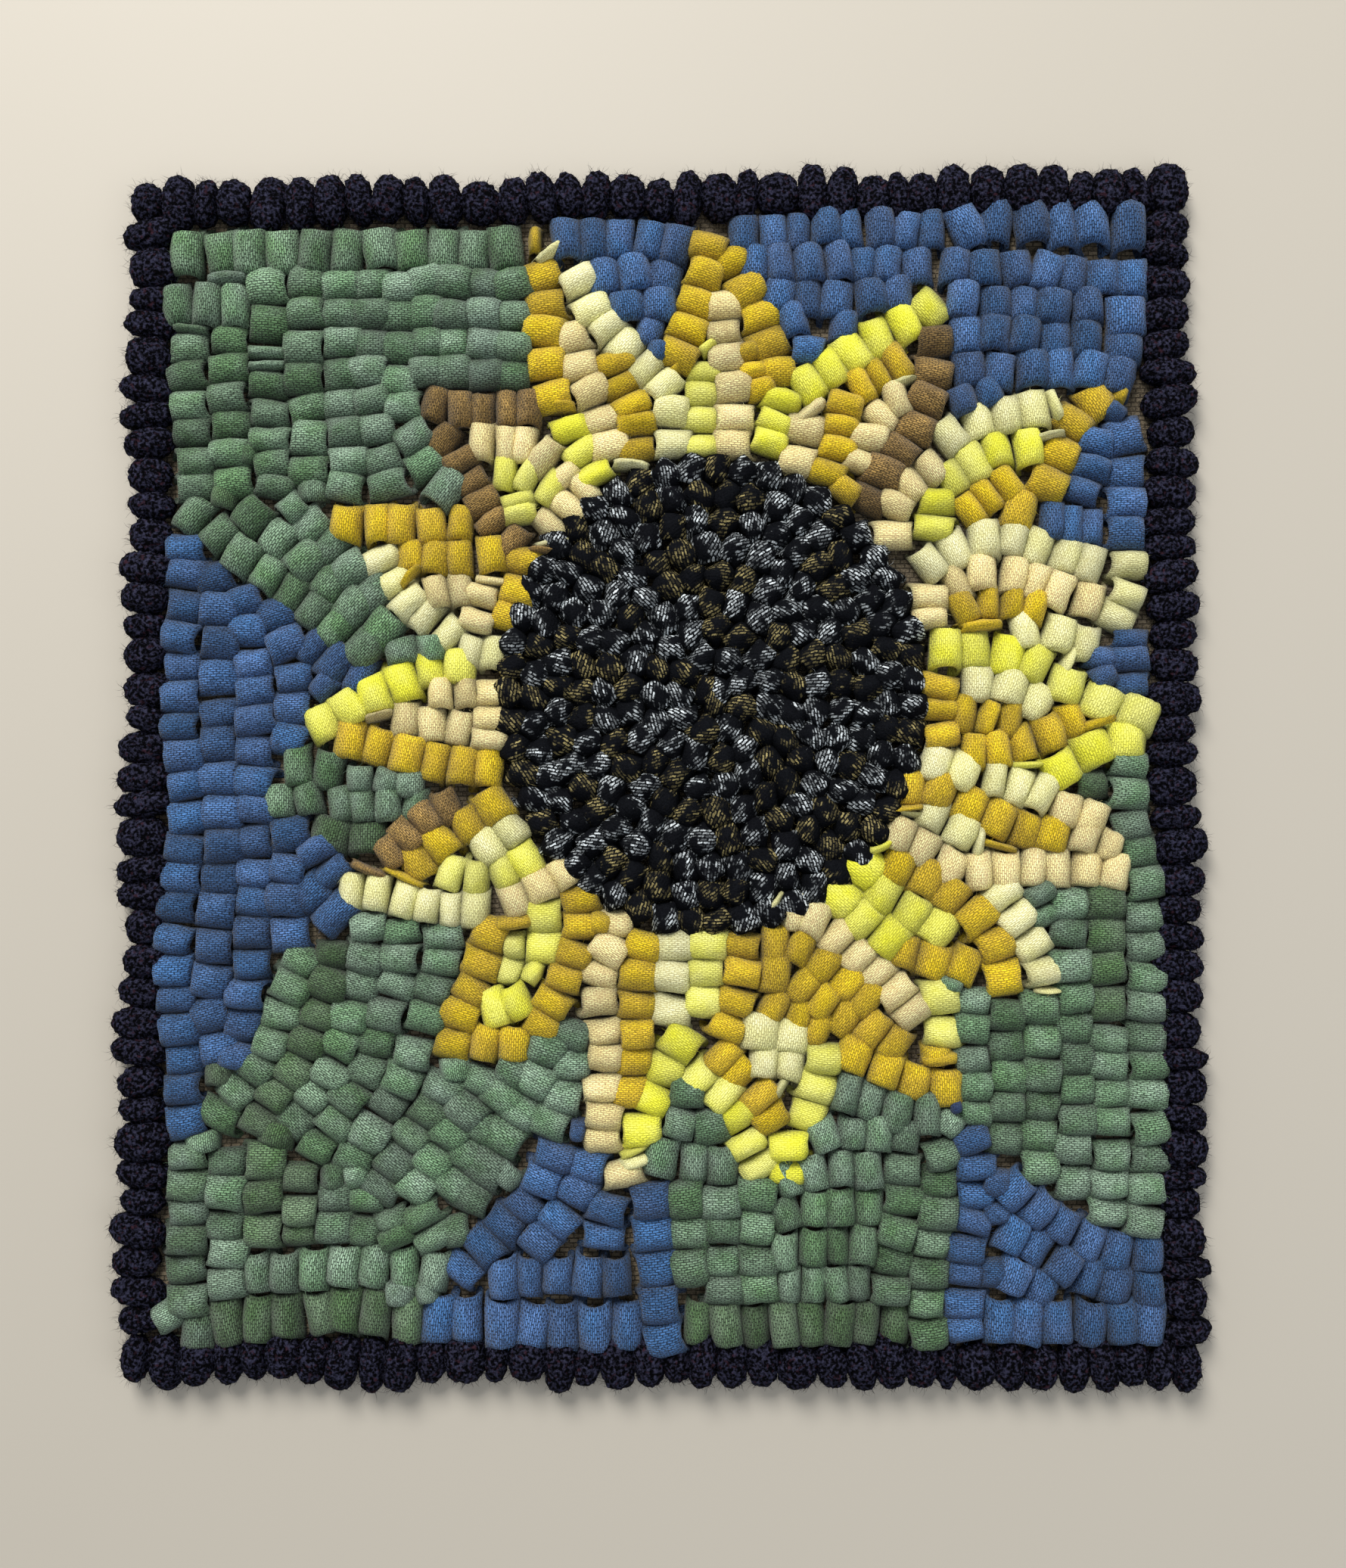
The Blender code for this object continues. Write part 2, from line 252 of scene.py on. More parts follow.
def make_cloth_group():
    """Threads, dye patches and the height above the table that sets the painted crease shade, for a
    woven and felted cloth.
    """
    group = bpy.data.node_groups.new("felted_weave", "ShaderNodeTree")
    interface(group, "INPUT", {
        "Thread Length": ("Float", THREAD_LENGTH),
        "Thread Pitch": ("Float", THREAD_PITCH),
        "Wobble": ("Float", 0.32),
    })
    interface(group, "OUTPUT", {"Thread": "Float", "Dye": "Float", "Lift": "Float"})
    given = add(group, "NodeGroupInput").outputs
    strip = add(group, "ShaderNodeUVMap", uv_map="weave").outputs[0]
    place = add(group, "ShaderNodeTexCoord").outputs["Object"]
    bend = noise(group, strip, BEND_SCALE, 3.0, "Color")
    centred = vector_maths(group, "SUBTRACT", bend, (0.5, 0.5, 0.5))
    bent = vector_maths(group, "ADD", strip, scaled(group, centred, given["Wobble"]))
    threads = bricks(
        group, bent, given["Thread Length"], given["Thread Pitch"],
        gap=0.17, blur=0.8, darkest=0.45,
    )
    fuzz = maths(group, "MULTIPLY_ADD", noise(group, place, FIBRE_SCALE, 2.0), 1.7, -0.80)
    thread = maths(group, "ADD", threads, fuzz, use_clamp=True)
    dye = noise(group, place, DYE_SCALE, 3.0)
    # The height above the table, from 0 in the creases to 1 higher up; the wools use it for painted
    # shade.
    up = add(group, "ShaderNodeSeparateXYZ", {0: place}).outputs["Z"]
    lift = maths(group, "MULTIPLY_ADD", up, 1 / PAINTED_SHADE_RISE, -PAINTED_SHADE_LEVEL, use_clamp=True)
    add(group, "NodeGroupOutput", {"Thread": thread, "Dye": dye, "Lift": lift})
    return group


CLOTH = make_cloth_group()
print("cloth group:", [socket.name for socket in CLOTH.interface.items_tree])

# %% [markdown]
# ## The wools
#
# Thirteen dyed wools make the flower, leaves and sky. Each is given as the record's material
# slot, its main colour, a second colour that the dye drifts to, and how strongly its
# threads stand out. A single loop also carries a number from 0 to 1, its tone, because no
# two loops catch the light or took the dye alike.

# %%
WOOLS = {
    "gold": ("gold_wool", (0.64, 0.46, 0.012), (0.50, 0.345, 0.022), 0.50),
    "lemon": ("lemon_wool", (0.95, 0.93, 0.045), (0.88, 0.86, 0.12), 0.42),
    "butter": ("butter_wool", (0.95, 0.93, 0.12), (0.90, 0.88, 0.20), 0.42),
    "cream": ("cream_wool", (0.94, 0.87, 0.42), (0.86, 0.80, 0.33), 0.42),
    "peach": ("peach_wool", (0.93, 0.66, 0.33), (0.82, 0.61, 0.28), 0.45),
    "brown": ("brown_wool", (0.27, 0.17, 0.050), (0.155, 0.098, 0.033), 0.75),
    "fern": ("green_wool", (0.090, 0.176, 0.080), (0.143, 0.222, 0.147), 0.78),
    "sage": ("green_wool", (0.175, 0.255, 0.185), (0.105, 0.192, 0.103), 0.78),
    "mist": ("green_wool", (0.150, 0.215, 0.165), (0.095, 0.160, 0.090), 0.75),
    "moss": ("green_wool", (0.062, 0.120, 0.048), (0.105, 0.160, 0.095), 0.75),
    "blue": ("blue_wool", (0.035, 0.102, 0.240), (0.050, 0.106, 0.240), 0.80),
    "heather": ("blue_wool", (0.046, 0.106, 0.242), (0.028, 0.074, 0.175), 0.80),
    "deep": ("blue_wool", (0.013, 0.033, 0.100), (0.014, 0.030, 0.085), 0.60),
}
LOOP_VARIATION = 0.92  # how far loops differ in strength, for a contrast of 1
DYE_LOTS = 7.0  # how often the dye repeats over the loops' tones


def tinted(colour, share):
    """A colour made lighter or darker, as RGBA."""
    return (*[min(c * share, 1) for c in colour], 1)


def matt_shader(material, sheen, gloss=0.18):
    """The material's shader, set up as matt wool."""
    material.use_nodes = True
    shader = material.node_tree.nodes["Principled BSDF"]
    shader.inputs["Roughness"].default_value = 0.9
    shader.inputs["Specular IOR Level"].default_value = gloss
    shader.inputs["Sheen Weight"].default_value = sheen
    shader.inputs["Sheen Roughness"].default_value = 0.5
    return shader


def relief(tree, height, depth):
    """A normal bumped by height, to a depth in metres."""
    wires = {"Height": height, "Distance": depth, "Strength": 1.0}
    return add(tree, "ShaderNodeBump", wires).outputs[0]


def make_wool(name, main, drift, contrast):
    """A dyed wool cloth, darkened low in the creases as painted shade; contrast is how far its
    threads stand out from the gaps.
    """
    material = bpy.data.materials.new(name + "_wool")
    shader = matt_shader(material, 0.15)
    tree = material.node_tree
    cloth = add(tree, "ShaderNodeGroup", node_tree=CLOTH)
    tone = add(tree, "ShaderNodeAttribute", attribute_name="tone").outputs["Fac"]
    loop_dye = maths(tree, "FRACT", maths(tree, "MULTIPLY", tone, DYE_LOTS))
    dyed = maths(tree, "MULTIPLY_ADD", cloth.outputs["Dye"], 3.2, -1.6)
    drifted = maths(tree, "ADD", dyed, loop_dye, use_clamp=True)
    in_shade, in_light = [
        blend_colours(tree, drifted, tinted(main, share), tinted(drift, share))
        for share in (1 - contrast, 1 + contrast)
    ]
    woven = blend_colours(tree, cloth.outputs["Thread"], in_shade, in_light)
    variation = contrast * LOOP_VARIATION
    strength = maths(tree, "MULTIPLY_ADD", tone, variation, 1.03 - variation / 2)
    # Painted shade: the colour is darkened towards the table, deep in the creases between loops.
    depth = maths(tree, "MULTIPLY_ADD", cloth.outputs["Lift"], 1 - PAINTED_CREASE_SHADE, PAINTED_CREASE_SHADE)
    toned = scaled(tree, woven, maths(tree, "MULTIPLY", strength, depth))
    tree.links.new(toned, shader.inputs["Base Color"])
    tree.links.new(relief(tree, cloth.outputs["Thread"], 0.16 * MM), shader.inputs["Normal"])
    return material


WOOL_MATERIALS = {name: make_wool(name, *wool[1:]) for name, wool in WOOLS.items()}
print("wools:", ", ".join(WOOL_MATERIALS))

# %% [markdown]
# ## Tweed, yarn and linen
#
# The seed head is hooked in a coarse tweed: black warp with slanting picks of pale grey or
# olive brown. Which of the two a loop shows is decided by its tone, since one strip holds
# both. The picks are wide bricks in a turned UV map. The edge is bulky near-black yarn
# with specks of blue and dull red. The linen under it all is a plain open weave, coloured
# much darker than clean linen as painted shade, because what little shows lies in the
# shade of the loops.

# %%
PICK_LENGTH = 2.3  # millimetres
PICK_PITCH = 0.92
PICK_SLANT = math.radians(52)
PICK_PATCHES = 330.0  # of the noise that gathers the picks, for each metre
OLIVE_SHARE = 0.42  # of the loops; the others show grey
YARN_FIBRES = 1500.0  # of the noises, for each metre
YARN_SPECKS = 900.0
LINEN_THREAD = {"Thread Length": 1.9, "Thread Pitch": 0.95, "Wobble": 0.2}  # millimetres


def make_tweed():
    """Black cloth with slanting grey or olive picks."""
    material = bpy.data.materials.new("tweed_wool")
    shader = matt_shader(material, 0.0, gloss=0.04)
    tree = material.node_tree
    strip = add(tree, "ShaderNodeUVMap", uv_map="weave").outputs[0]
    turned = add(tree, "ShaderNodeMapping", {"Vector": strip, "Rotation": (0, 0, PICK_SLANT)})
    bend = noise(tree, strip, 1.1, 2.0, "Color")
    bent = vector_maths(tree, "MULTIPLY_ADD", bend, (0.7, 0.7, 0), turned.outputs[0])
    picks = bricks(tree, bent, PICK_LENGTH, PICK_PITCH, gap=0.24, blur=0.4, darkest=0)
    place = add(tree, "ShaderNodeTexCoord").outputs["Object"]
    fibres = noise(tree, place, 2200.0, 2.0)
    worn = maths(tree, "MULTIPLY_ADD", fibres, 3.2, -0.75, use_clamp=True)
    shown = maths(tree, "MULTIPLY", picks, worn)
    patch = noise(tree, place, PICK_PATCHES, 2.0)
    present = maths(tree, "MULTIPLY_ADD", patch, 9.0, -4.2, use_clamp=True)
    strength = maths(tree, "MULTIPLY", shown, present)
    tone = add(tree, "ShaderNodeAttribute", attribute_name="tone").outputs["Fac"]
    is_grey = maths(tree, "GREATER_THAN", tone, OLIVE_SHARE)
    pick_colour = blend_colours(tree, is_grey, (0.40, 0.335, 0.145, 1), (0.80, 0.88, 0.92, 1))
    ground = blend_colours(tree, fibres, (0.0008, 0.001, 0.0015, 1), (0.008, 0.009, 0.012, 1))
    colour = blend_colours(tree, strength, ground, pick_colour)
    tree.links.new(colour, shader.inputs["Base Color"])
    height = maths(tree, "ADD", picks, fibres)
    tree.links.new(relief(tree, height, 0.18 * MM), shader.inputs["Normal"])
    return material


def make_yarn():
    """Bulky, hairy yarn, nearly black."""
    material = bpy.data.materials.new("navy_yarn")
    shader = matt_shader(material, 0.0, gloss=0.05)
    tree = material.node_tree
    place = add(tree, "ShaderNodeTexCoord").outputs["Object"]
    fibres = noise(tree, place, YARN_FIBRES, 4.0)
    warm = maths(
        tree, "MULTIPLY_ADD", noise(tree, place, YARN_SPECKS, 1.0), 6.0, -3.7, use_clamp=True
    )
    lit = maths(tree, "MULTIPLY_ADD", fibres, 4.5, -2.05, use_clamp=True)
    ground = blend_colours(tree, lit, (0.0004, 0.0004, 0.0010, 1), (0.034, 0.035, 0.066, 1))
    colour = blend_colours(tree, warm, ground, (0.032, 0.013, 0.020, 1))
    tree.links.new(colour, shader.inputs["Base Color"])
    tree.links.new(relief(tree, fibres, 0.5 * MM), shader.inputs["Normal"])
    return material


def make_linen():
    """Natural linen, woven plain and open, coloured dark as painted shade from the loops over it."""
    material = bpy.data.materials.new("natural_linen")
    shader = matt_shader(material, 0.05)
    tree = material.node_tree
    cloth = add(tree, "ShaderNodeGroup", node_tree=CLOTH)
    for name, value in LINEN_THREAD.items():
        cloth.inputs[name].default_value = value
    # Painted shade: both colours are far darker than clean linen, for the shade of the loops over
    # it.
    colour = blend_colours(
        tree, cloth.outputs["Thread"], (0.05, 0.040, 0.026, 1), (0.19, 0.155, 0.105, 1)
    )
    tree.links.new(colour, shader.inputs["Base Color"])
    tree.links.new(relief(tree, cloth.outputs["Thread"], 0.3 * MM), shader.inputs["Normal"])
    return material


TWEED = make_tweed()
YARN = make_yarn()
LINEN = make_linen()
print("other finishes:", TWEED.name, YARN.name, LINEN.name)

# %% [markdown]
# ## One loop
#
# A strip comes up through one hole of the cloth, stands as a loop that is narrow at the
# foot and wide at the crown, and goes down the same hole. Then it runs along the back to
# the next. The shape below is exactly that, one pitch long and one strip wide, so that a
# row is this shape repeated. Its side outline is a short list of points, which is mirrored,
# given the cloth's thickness and swept across the strip. Subdivision rounds it later.

# %%
NOMINAL_PITCH = 6.5  # millimetres from one loop to the next
STRIP_WIDTH = 7.4
STRIP_THICKNESS = 1.15
FOOT = 1.3  # where the legs pass through the cloth
SIDE = [(0.20, FOOT), (0.64, 2.9), (0.475, 6.9), (0, 10.0)]
ACROSS = [(-0.50, 3.4), (-0.42, 0.2), (0.42, 0.2), (0.50, 3.4)]  # place, drop of the crown
BULGE = 0.6  # how much wider the pressed foot of a loop is than its crown


def hidden_shape(name, vertices, faces):
    """A mesh object that only the trees use."""
    mesh = bpy.data.meshes.new(name)
    mesh.from_pydata(vertices, [], faces)
    mesh.update()
    return bpy.data.objects.new(name, mesh)


def loop_outline():
    """The loop from the side: outer points, and inner points one thickness in."""
    outer = [(x * NOMINAL_PITCH, z) for x, z in SIDE]
    outer = outer + [(-x, z) for x, z in outer[-2::-1]]
    inner = []
    for i, (x, z) in enumerate(outer):
        before = Vector(outer[max(i - 1, 0)])
        after = Vector(outer[min(i + 1, len(outer) - 1)])
        along = (after - before).normalized()
        inner.append((x - along.y * STRIP_THICKNESS, z + along.x * STRIP_THICKNESS))
    inner[0] = (0.02 * NOMINAL_PITCH, FOOT)
    inner[-1] = (-0.02 * NOMINAL_PITCH, FOOT)
    return outer, inner


def loop_mesh():
    """Vertices, faces and UVs of a loop with the run on the back that follows it."""
    outer, inner = loop_outline()
    vertices = []
    places = []
    for side in (outer, inner):
        length = 0
        for i, (x, z) in enumerate(side):
            if i:
                length += (Vector(side[i]) - Vector(side[i - 1])).length
            for y, drop in ACROSS:
                rise = max(z - FOOT, 0) / 8
                wider = 1 + BULGE * (1 - min(rise, 1)) ** 2
                vertices.append((x / NOMINAL_PITCH, y * wider, (z - drop * rise) * MM))
                places.append((y * STRIP_WIDTH, length))
    wide = len(ACROSS)
    start_inner = len(outer) * wide
    faces = []
    for i in range(len(outer) - 1):
        for k in range(wide - 1):
            a = i * wide + k
            faces.append((a, a + 1, a + wide + 1, a + wide))
            b = start_inner + a
            faces.append((b + wide, b + wide + 1, b + 1, b))
        for k in (0, wide - 1):
            a = i * wide + k
            b = start_inner + a
            ring = (a, a + wide, b + wide, b)
            faces.append(ring if k == 0 else ring[::-1])
    for i in (0, len(outer) - 1):
        for k in range(wide - 1):
            a = i * wide + k
            b = start_inner + a
            ring = (a, b, b + 1, a + 1)
            faces.append(ring if i == 0 else ring[::-1])
    add_back_run(vertices, places, faces)
    return vertices, faces, places


BACK_TOP = 1.25  # millimetres
BACK_STATIONS = [(-0.55, 0.25), (0, 0.02), (0.55, 0.25)]  # along, lift


def add_back_run(vertices, places, faces):
    """A flat run of strip on the back, which dips up into the cloth at both ends."""
    first = len(vertices)
    for x, lift in BACK_STATIONS:
        for y, z in ((-0.44, lift), (0.44, lift), (0.44, BACK_TOP + lift), (-0.44, BACK_TOP + lift)):
            vertices.append((x, y, z * MM))
            places.append((y * STRIP_WIDTH + z, x * NOMINAL_PITCH))
    last = len(BACK_STATIONS) - 1
    for i in range(last):
        for k in range(4):
            a = first + i * 4 + k
            b = first + i * 4 + (k + 1) % 4
            faces.append((a, a + 4, b + 4, b))
    faces.append(tuple(first + k for k in range(4)))
    faces.append(tuple(first + last * 4 + k for k in reversed(range(4))))


def face_outwards(shape):
    """Turn every face outwards; each part is a closed body."""
    mesh = bmesh.new()
    mesh.from_mesh(shape.data)
    bmesh.ops.recalc_face_normals(mesh, faces=mesh.faces)
    mesh.to_mesh(shape.data)
    mesh.free()


def map_strip(shape, places):
    """Store each vertex's place on the strip, in millimetres, as the UV map."""
    layer = shape.data.uv_layers.new(name="weave")
    for corner in shape.data.loops:
        layer.data[corner.index].uv = places[corner.vertex_index]


def make_loop_shape():
    """The loop as an object, with its faces turned outwards and its UV map."""
    vertices, faces, places = loop_mesh()
    made = hidden_shape("loop_shape", vertices, faces)
    face_outwards(made)
    map_strip(made, places)
    return made


LOOP_SHAPE = make_loop_shape()
print("faces in one loop:", len(LOOP_SHAPE.data.polygons))

# %% [markdown]
# ## One stitch of yarn, and one fibre
#
# A whipping stitch goes over the folded edge of the cloth and comes back under it. Seen
# from any side it is a fat rounded bead, so a squared-off ball is enough: its formula is a
# superellipse turned about the edge. A fibre is a bent, three-sided thorn of seven faces,
# because thousands of them are needed to make wool look soft.

# %%
STITCH_RINGS = 7
STITCH_SIDES = 8
STITCH_HEIGHT = 7.9
FIBRE_LENGTH = 1.3
FIBRE_RADIUS = 0.030


def squared(turn, power):
    """A point on a unit superellipse."""
    return tuple(
        math.copysign(abs(side) ** power, side) for side in (math.cos(turn), math.sin(turn))
    )


def make_stitch_shape():
    """A bead one stitch long in X, as wide as the whipping in Y."""
    vertices = []
    places = []
    for i in range(STITCH_RINGS):
        rise = math.pi * (i + 0.5) / STITCH_RINGS - math.pi / 2
        reach, along = squared(rise, 0.85)
        for k in range(STITCH_SIDES):
            y, z = squared(2 * math.pi * k / STITCH_SIDES, 0.8)
            vertices.append((
                along * 0.54, reach * y * 0.5, (reach * z + 1) * STITCH_HEIGHT / 2 * MM,
            ))
            places.append((along * 3, k * 2.5))
    faces = []
    for i in range(STITCH_RINGS - 1):
        for k in range(STITCH_SIDES):
            a = i * STITCH_SIDES + k
            b = i * STITCH_SIDES + (k + 1) % STITCH_SIDES
            faces.append((a, b, b + STITCH_SIDES, a + STITCH_SIDES))
    faces.append(tuple(range(STITCH_SIDES)))
    end = (STITCH_RINGS - 1) * STITCH_SIDES
    faces.append(tuple(end + k for k in range(STITCH_SIDES)))
    made = hidden_shape("stitch_shape", vertices, faces)
    face_outwards(made)
    map_strip(made, places)
    return made


def make_fibre_shape():
    """A thin bent thorn that rises along Z."""
    stations = [(0, 0, 1), (0.22, 0.6, 0.8)]  # bend, rise, thickness
    vertices = []
    for bend, rise, thick in stations:
        for k in range(3):
            turn = 2 * math.pi * k / 3
            vertices.append((
                bend * FIBRE_LENGTH * MM + math.cos(turn) * FIBRE_RADIUS * thick * MM,
                math.sin(turn) * FIBRE_RADIUS * thick * MM,
                rise * FIBRE_LENGTH * MM,
            ))
    vertices.append((0.75 * FIBRE_LENGTH * MM, 0, 0.95 * FIBRE_LENGTH * MM))
    faces = [(2, 1, 0)]
    for k in range(3):
        follows = (k + 1) % 3
        faces.append((k, follows, follows + 3, k + 3))
        faces.append((k + 3, follows + 3, 6))
    made = hidden_shape("fibre_shape", vertices, faces)
    face_outwards(made)
    return made


STITCH_SHAPE = make_stitch_shape()
FIBRE_SHAPE = make_fibre_shape()
print("faces in one stitch:", len(STITCH_SHAPE.data.polygons))
print("faces in one fibre:", len(FIBRE_SHAPE.data.polygons))

# %% [markdown]
# ## The tree that hooks a row
#
# A row is drawn as a few guide points, with how many loops it holds and how wide its strip
# is. Geometry Nodes suit this well, because a row follows a path and its loops repeat: the
# tree turns the points into a smooth curve, cuts it into one edge for each loop, jostles
# the cuts, and puts the shape on each edge, as long as that edge. Then it rounds the
# shapes, dents them with a noise and grows the fibres. The same tree whips the edge.

# %%
CLOTH_PATCHES = (90, 90, 0)  # how far apart on the cloth two loops can be cut, in millimetres
FIBRE_LEAN = (1.0, 1.0, 3.1)  # the most that a fibre turns away from the wool, in radians


def random_value(tree, low, high, seed, kind="FLOAT"):
    """A random number or vector for each element, between low and high."""
    first = 0 if kind == "FLOAT_VECTOR" else 2
    wires = {first: low, first + 1: high, 8: seed}
    made = add(tree, "FunctionNodeRandomValue", wires, data_type=kind)
    return made.outputs[0 if kind == "FLOAT_VECTOR" else 1]


def named(tree, name, kind="FLOAT"):
    """The value of an attribute."""
    made = add(tree, "GeometryNodeInputNamedAttribute", {"Name": name}, data_type=kind)
    return made.outputs[0]


def stored(tree, geometry, name, value, domain, kind="FLOAT"):
    """The geometry with a value kept on it under a name."""
    wires = {"Geometry": geometry, "Name": name, "Value": value}
    made = add(tree, "GeometryNodeStoreNamedAttribute", wires, data_type=kind, domain=domain)
    return made.outputs[0]


print("row tree helpers: random_value, named, stored")

# %% [markdown]
# ## Cutting a row and placing the loops
#
# The curve is cut into equal runs, and each run is kept as a vector on a point. The shape
# is then turned along it and made as long as it. Height, width and tilt vary at random, and
# so does the tone that the finish reads.

# %%


def cut_row(tree, given):
    """One point for each loop, which carries the loop's run from its start to its end."""
    curve = add(tree, "GeometryNodeMeshToCurve", {0: given["Geometry"]}).outputs[0]
    smooth = add(
        tree, "GeometryNodeCurveSplineType", {0: curve}, spline_type="CATMULL_ROM"
    ).outputs[0]
    fine = add(tree, "GeometryNodeSetSplineResolution", {0: smooth, "Resolution": 12}).outputs[0]
    cuts = add(tree, "GeometryNodeResampleCurve", {
        0: fine, "Count": maths(tree, "ADD", named(tree, "loops"), 1.0),
    }).outputs[0]
    jostle = scaled(
        tree,
        add(tree, "GeometryNodeInputTangent").outputs[0],
        random_value(
            tree, maths(tree, "MULTIPLY", given["Jostle"], -1.0), given["Jostle"], given["Seed"]
        ),
    )
    moved = add(tree, "GeometryNodeSetPosition", {0: cuts, "Offset": jostle}).outputs[0]
    edges = add(tree, "GeometryNodeCurveToMesh", {0: moved}).outputs[0]
    ends = add(tree, "GeometryNodeInputMeshEdgeVertices").outputs
    run = vector_maths(tree, "SUBTRACT", ends["Position 2"], ends["Position 1"])
    kept = stored(tree, edges, "run", run, "EDGE", "FLOAT_VECTOR")
    return add(tree, "GeometryNodeMeshToPoints", {0: kept}, mode="EDGES").outputs[0]


def place_shapes(tree, given, points):
    """The shape on each point, turned along its run and tilted a little."""
    run = named(tree, "run", "FLOAT_VECTOR")
    length = add(tree, "ShaderNodeVectorMath", {0: run}, operation="LENGTH").outputs["Value"]
    facing = add(
        tree, "FunctionNodeAlignRotationToVector", {"Vector": run}, axis="X", pivot_axis="Z"
    ).outputs[0]
    height = random_value(tree, given["Lowest"], 1.04, maths(tree, "ADD", given["Seed"], 1.0))
    width = maths(tree, "MULTIPLY", named(tree, "wide"), random_value(
        tree, given["Narrowest"], given["Widest"], maths(tree, "ADD", given["Seed"], 2.0)))
    size = add(tree, "ShaderNodeCombineXYZ", {0: length, 1: width, 2: height}).outputs[0]
    shape = add(tree, "GeometryNodeObjectInfo", {"Object": given["Shape"]}).outputs["Geometry"]
    placed = add(tree, "GeometryNodeInstanceOnPoints", {
        "Points": points, "Instance": shape, "Rotation": facing, "Scale": size,
    }).outputs[0]
    tilt = random_value(
        tree, scaled(tree, given["Tilt"], -1.0), given["Tilt"],
        maths(tree, "ADD", given["Seed"], 3.0), "FLOAT_VECTOR",
    )
    tilted = add(
        tree, "GeometryNodeRotateInstances", {"Instances": placed, "Rotation": tilt}
    ).outputs[0]
    tone = random_value(tree, 0.0, 1.0, maths(tree, "ADD", given["Seed"], 4.0))
    toned = stored(tree, tilted, "tone", tone, "INSTANCE")
    patch = random_value(
        tree, (0, 0, 0), CLOTH_PATCHES, maths(tree, "ADD", given["Seed"], 5.0), "FLOAT_VECTOR"
    )
    return stored(tree, toned, "patch", patch, "INSTANCE", "FLOAT_VECTOR")


print("first half of the tree: cut_row, place_shapes")

# %% [markdown]
# ## Softening the wool
#
# A real strip is rounded, dented by its neighbours and hairy. Subdivision rounds, a noise
# along the normals dents, and thorns on random points make the hairs. Nothing may reach
# below the table, so the last step lays such points flat.

# %%


def soften(tree, given, shapes):
    """Round the shapes, dent them and give each its own patch of the cloth."""
    solid = add(tree, "GeometryNodeRealizeInstances", {0: shapes}).outputs[0]
    round_ones = add(
        tree, "GeometryNodeSubdivisionSurface", {0: solid, "Level": given["Rounding"]}
    ).outputs[0]
    place = add(tree, "GeometryNodeInputPosition").outputs[0]
    dents = noise(tree, place, given["Dents per Metre"], 1.5)
    depth = maths(tree, "MULTIPLY", maths(tree, "SUBTRACT", dents, 0.5), given["Dent Depth"])
    normal = add(tree, "GeometryNodeInputNormal").outputs[0]
    dented = add(tree, "GeometryNodeSetPosition", {
        0: round_ones, "Offset": scaled(tree, normal, depth),
    }).outputs[0]
    cloth = vector_maths(
        tree, "ADD", named(tree, "weave", "FLOAT_VECTOR"), named(tree, "patch", "FLOAT_VECTOR")
    )
    return stored(tree, dented, "weave", cloth, "CORNER", "FLOAT2")


def grow_fibres(tree, given, wool):
    """Fibres that stand out of the wool at random."""
    roots = add(tree, "GeometryNodeDistributePointsOnFaces", {
        "Mesh": wool, "Density": given["Fibres per Square Metre"], "Seed": given["Seed"],
    })
    lean = random_value(
        tree, [-turn for turn in FIBRE_LEAN], FIBRE_LEAN, given["Seed"], "FLOAT_VECTOR"
    )
    length = random_value(
        tree, 0.4, given["Longest Fibre"], maths(tree, "ADD", given["Seed"], 6.0)
    )
    shape = add(tree, "GeometryNodeObjectInfo", {"Object": given["Fibre"]}).outputs["Geometry"]
    size = add(tree, "ShaderNodeCombineXYZ", {0: length, 1: 1.0, 2: length}).outputs[0]
    planted = add(tree, "GeometryNodeInstanceOnPoints", {
        "Points": roots.outputs["Points"],
        "Instance": shape,
        "Rotation": roots.outputs["Rotation"],
        "Scale": size,
    }).outputs[0]
    leaning = add(
        tree, "GeometryNodeRotateInstances", {"Instances": planted, "Rotation": lean}
    ).outputs[0]
    return add(tree, "GeometryNodeRealizeInstances", {0: leaning}).outputs[0]


def kept_above_table(tree, geometry):
    """Whatever would reach below the table is laid flat on it."""
    place = add(tree, "GeometryNodeInputPosition").outputs[0]
    parts = add(tree, "ShaderNodeSeparateXYZ", {0: place}).outputs
    lifted = maths(tree, "MAXIMUM", parts["Z"], 0.0)
    laid = add(tree, "ShaderNodeCombineXYZ", {0: parts["X"], 1: parts["Y"], 2: lifted})
    wires = {"Geometry": geometry, "Position": laid.outputs[0]}
    return add(tree, "GeometryNodeSetPosition", wires).outputs[0]


print("second half of the tree: soften, grow_fibres, kept_above_table")

# %% [markdown]
# ## The tree as a whole
#
# Every number that a wool or a yarn needs of its own is a named input of the tree. A row
# reaches the tree as a chain of edges, and what comes out is kept as a plain mesh.

# %%


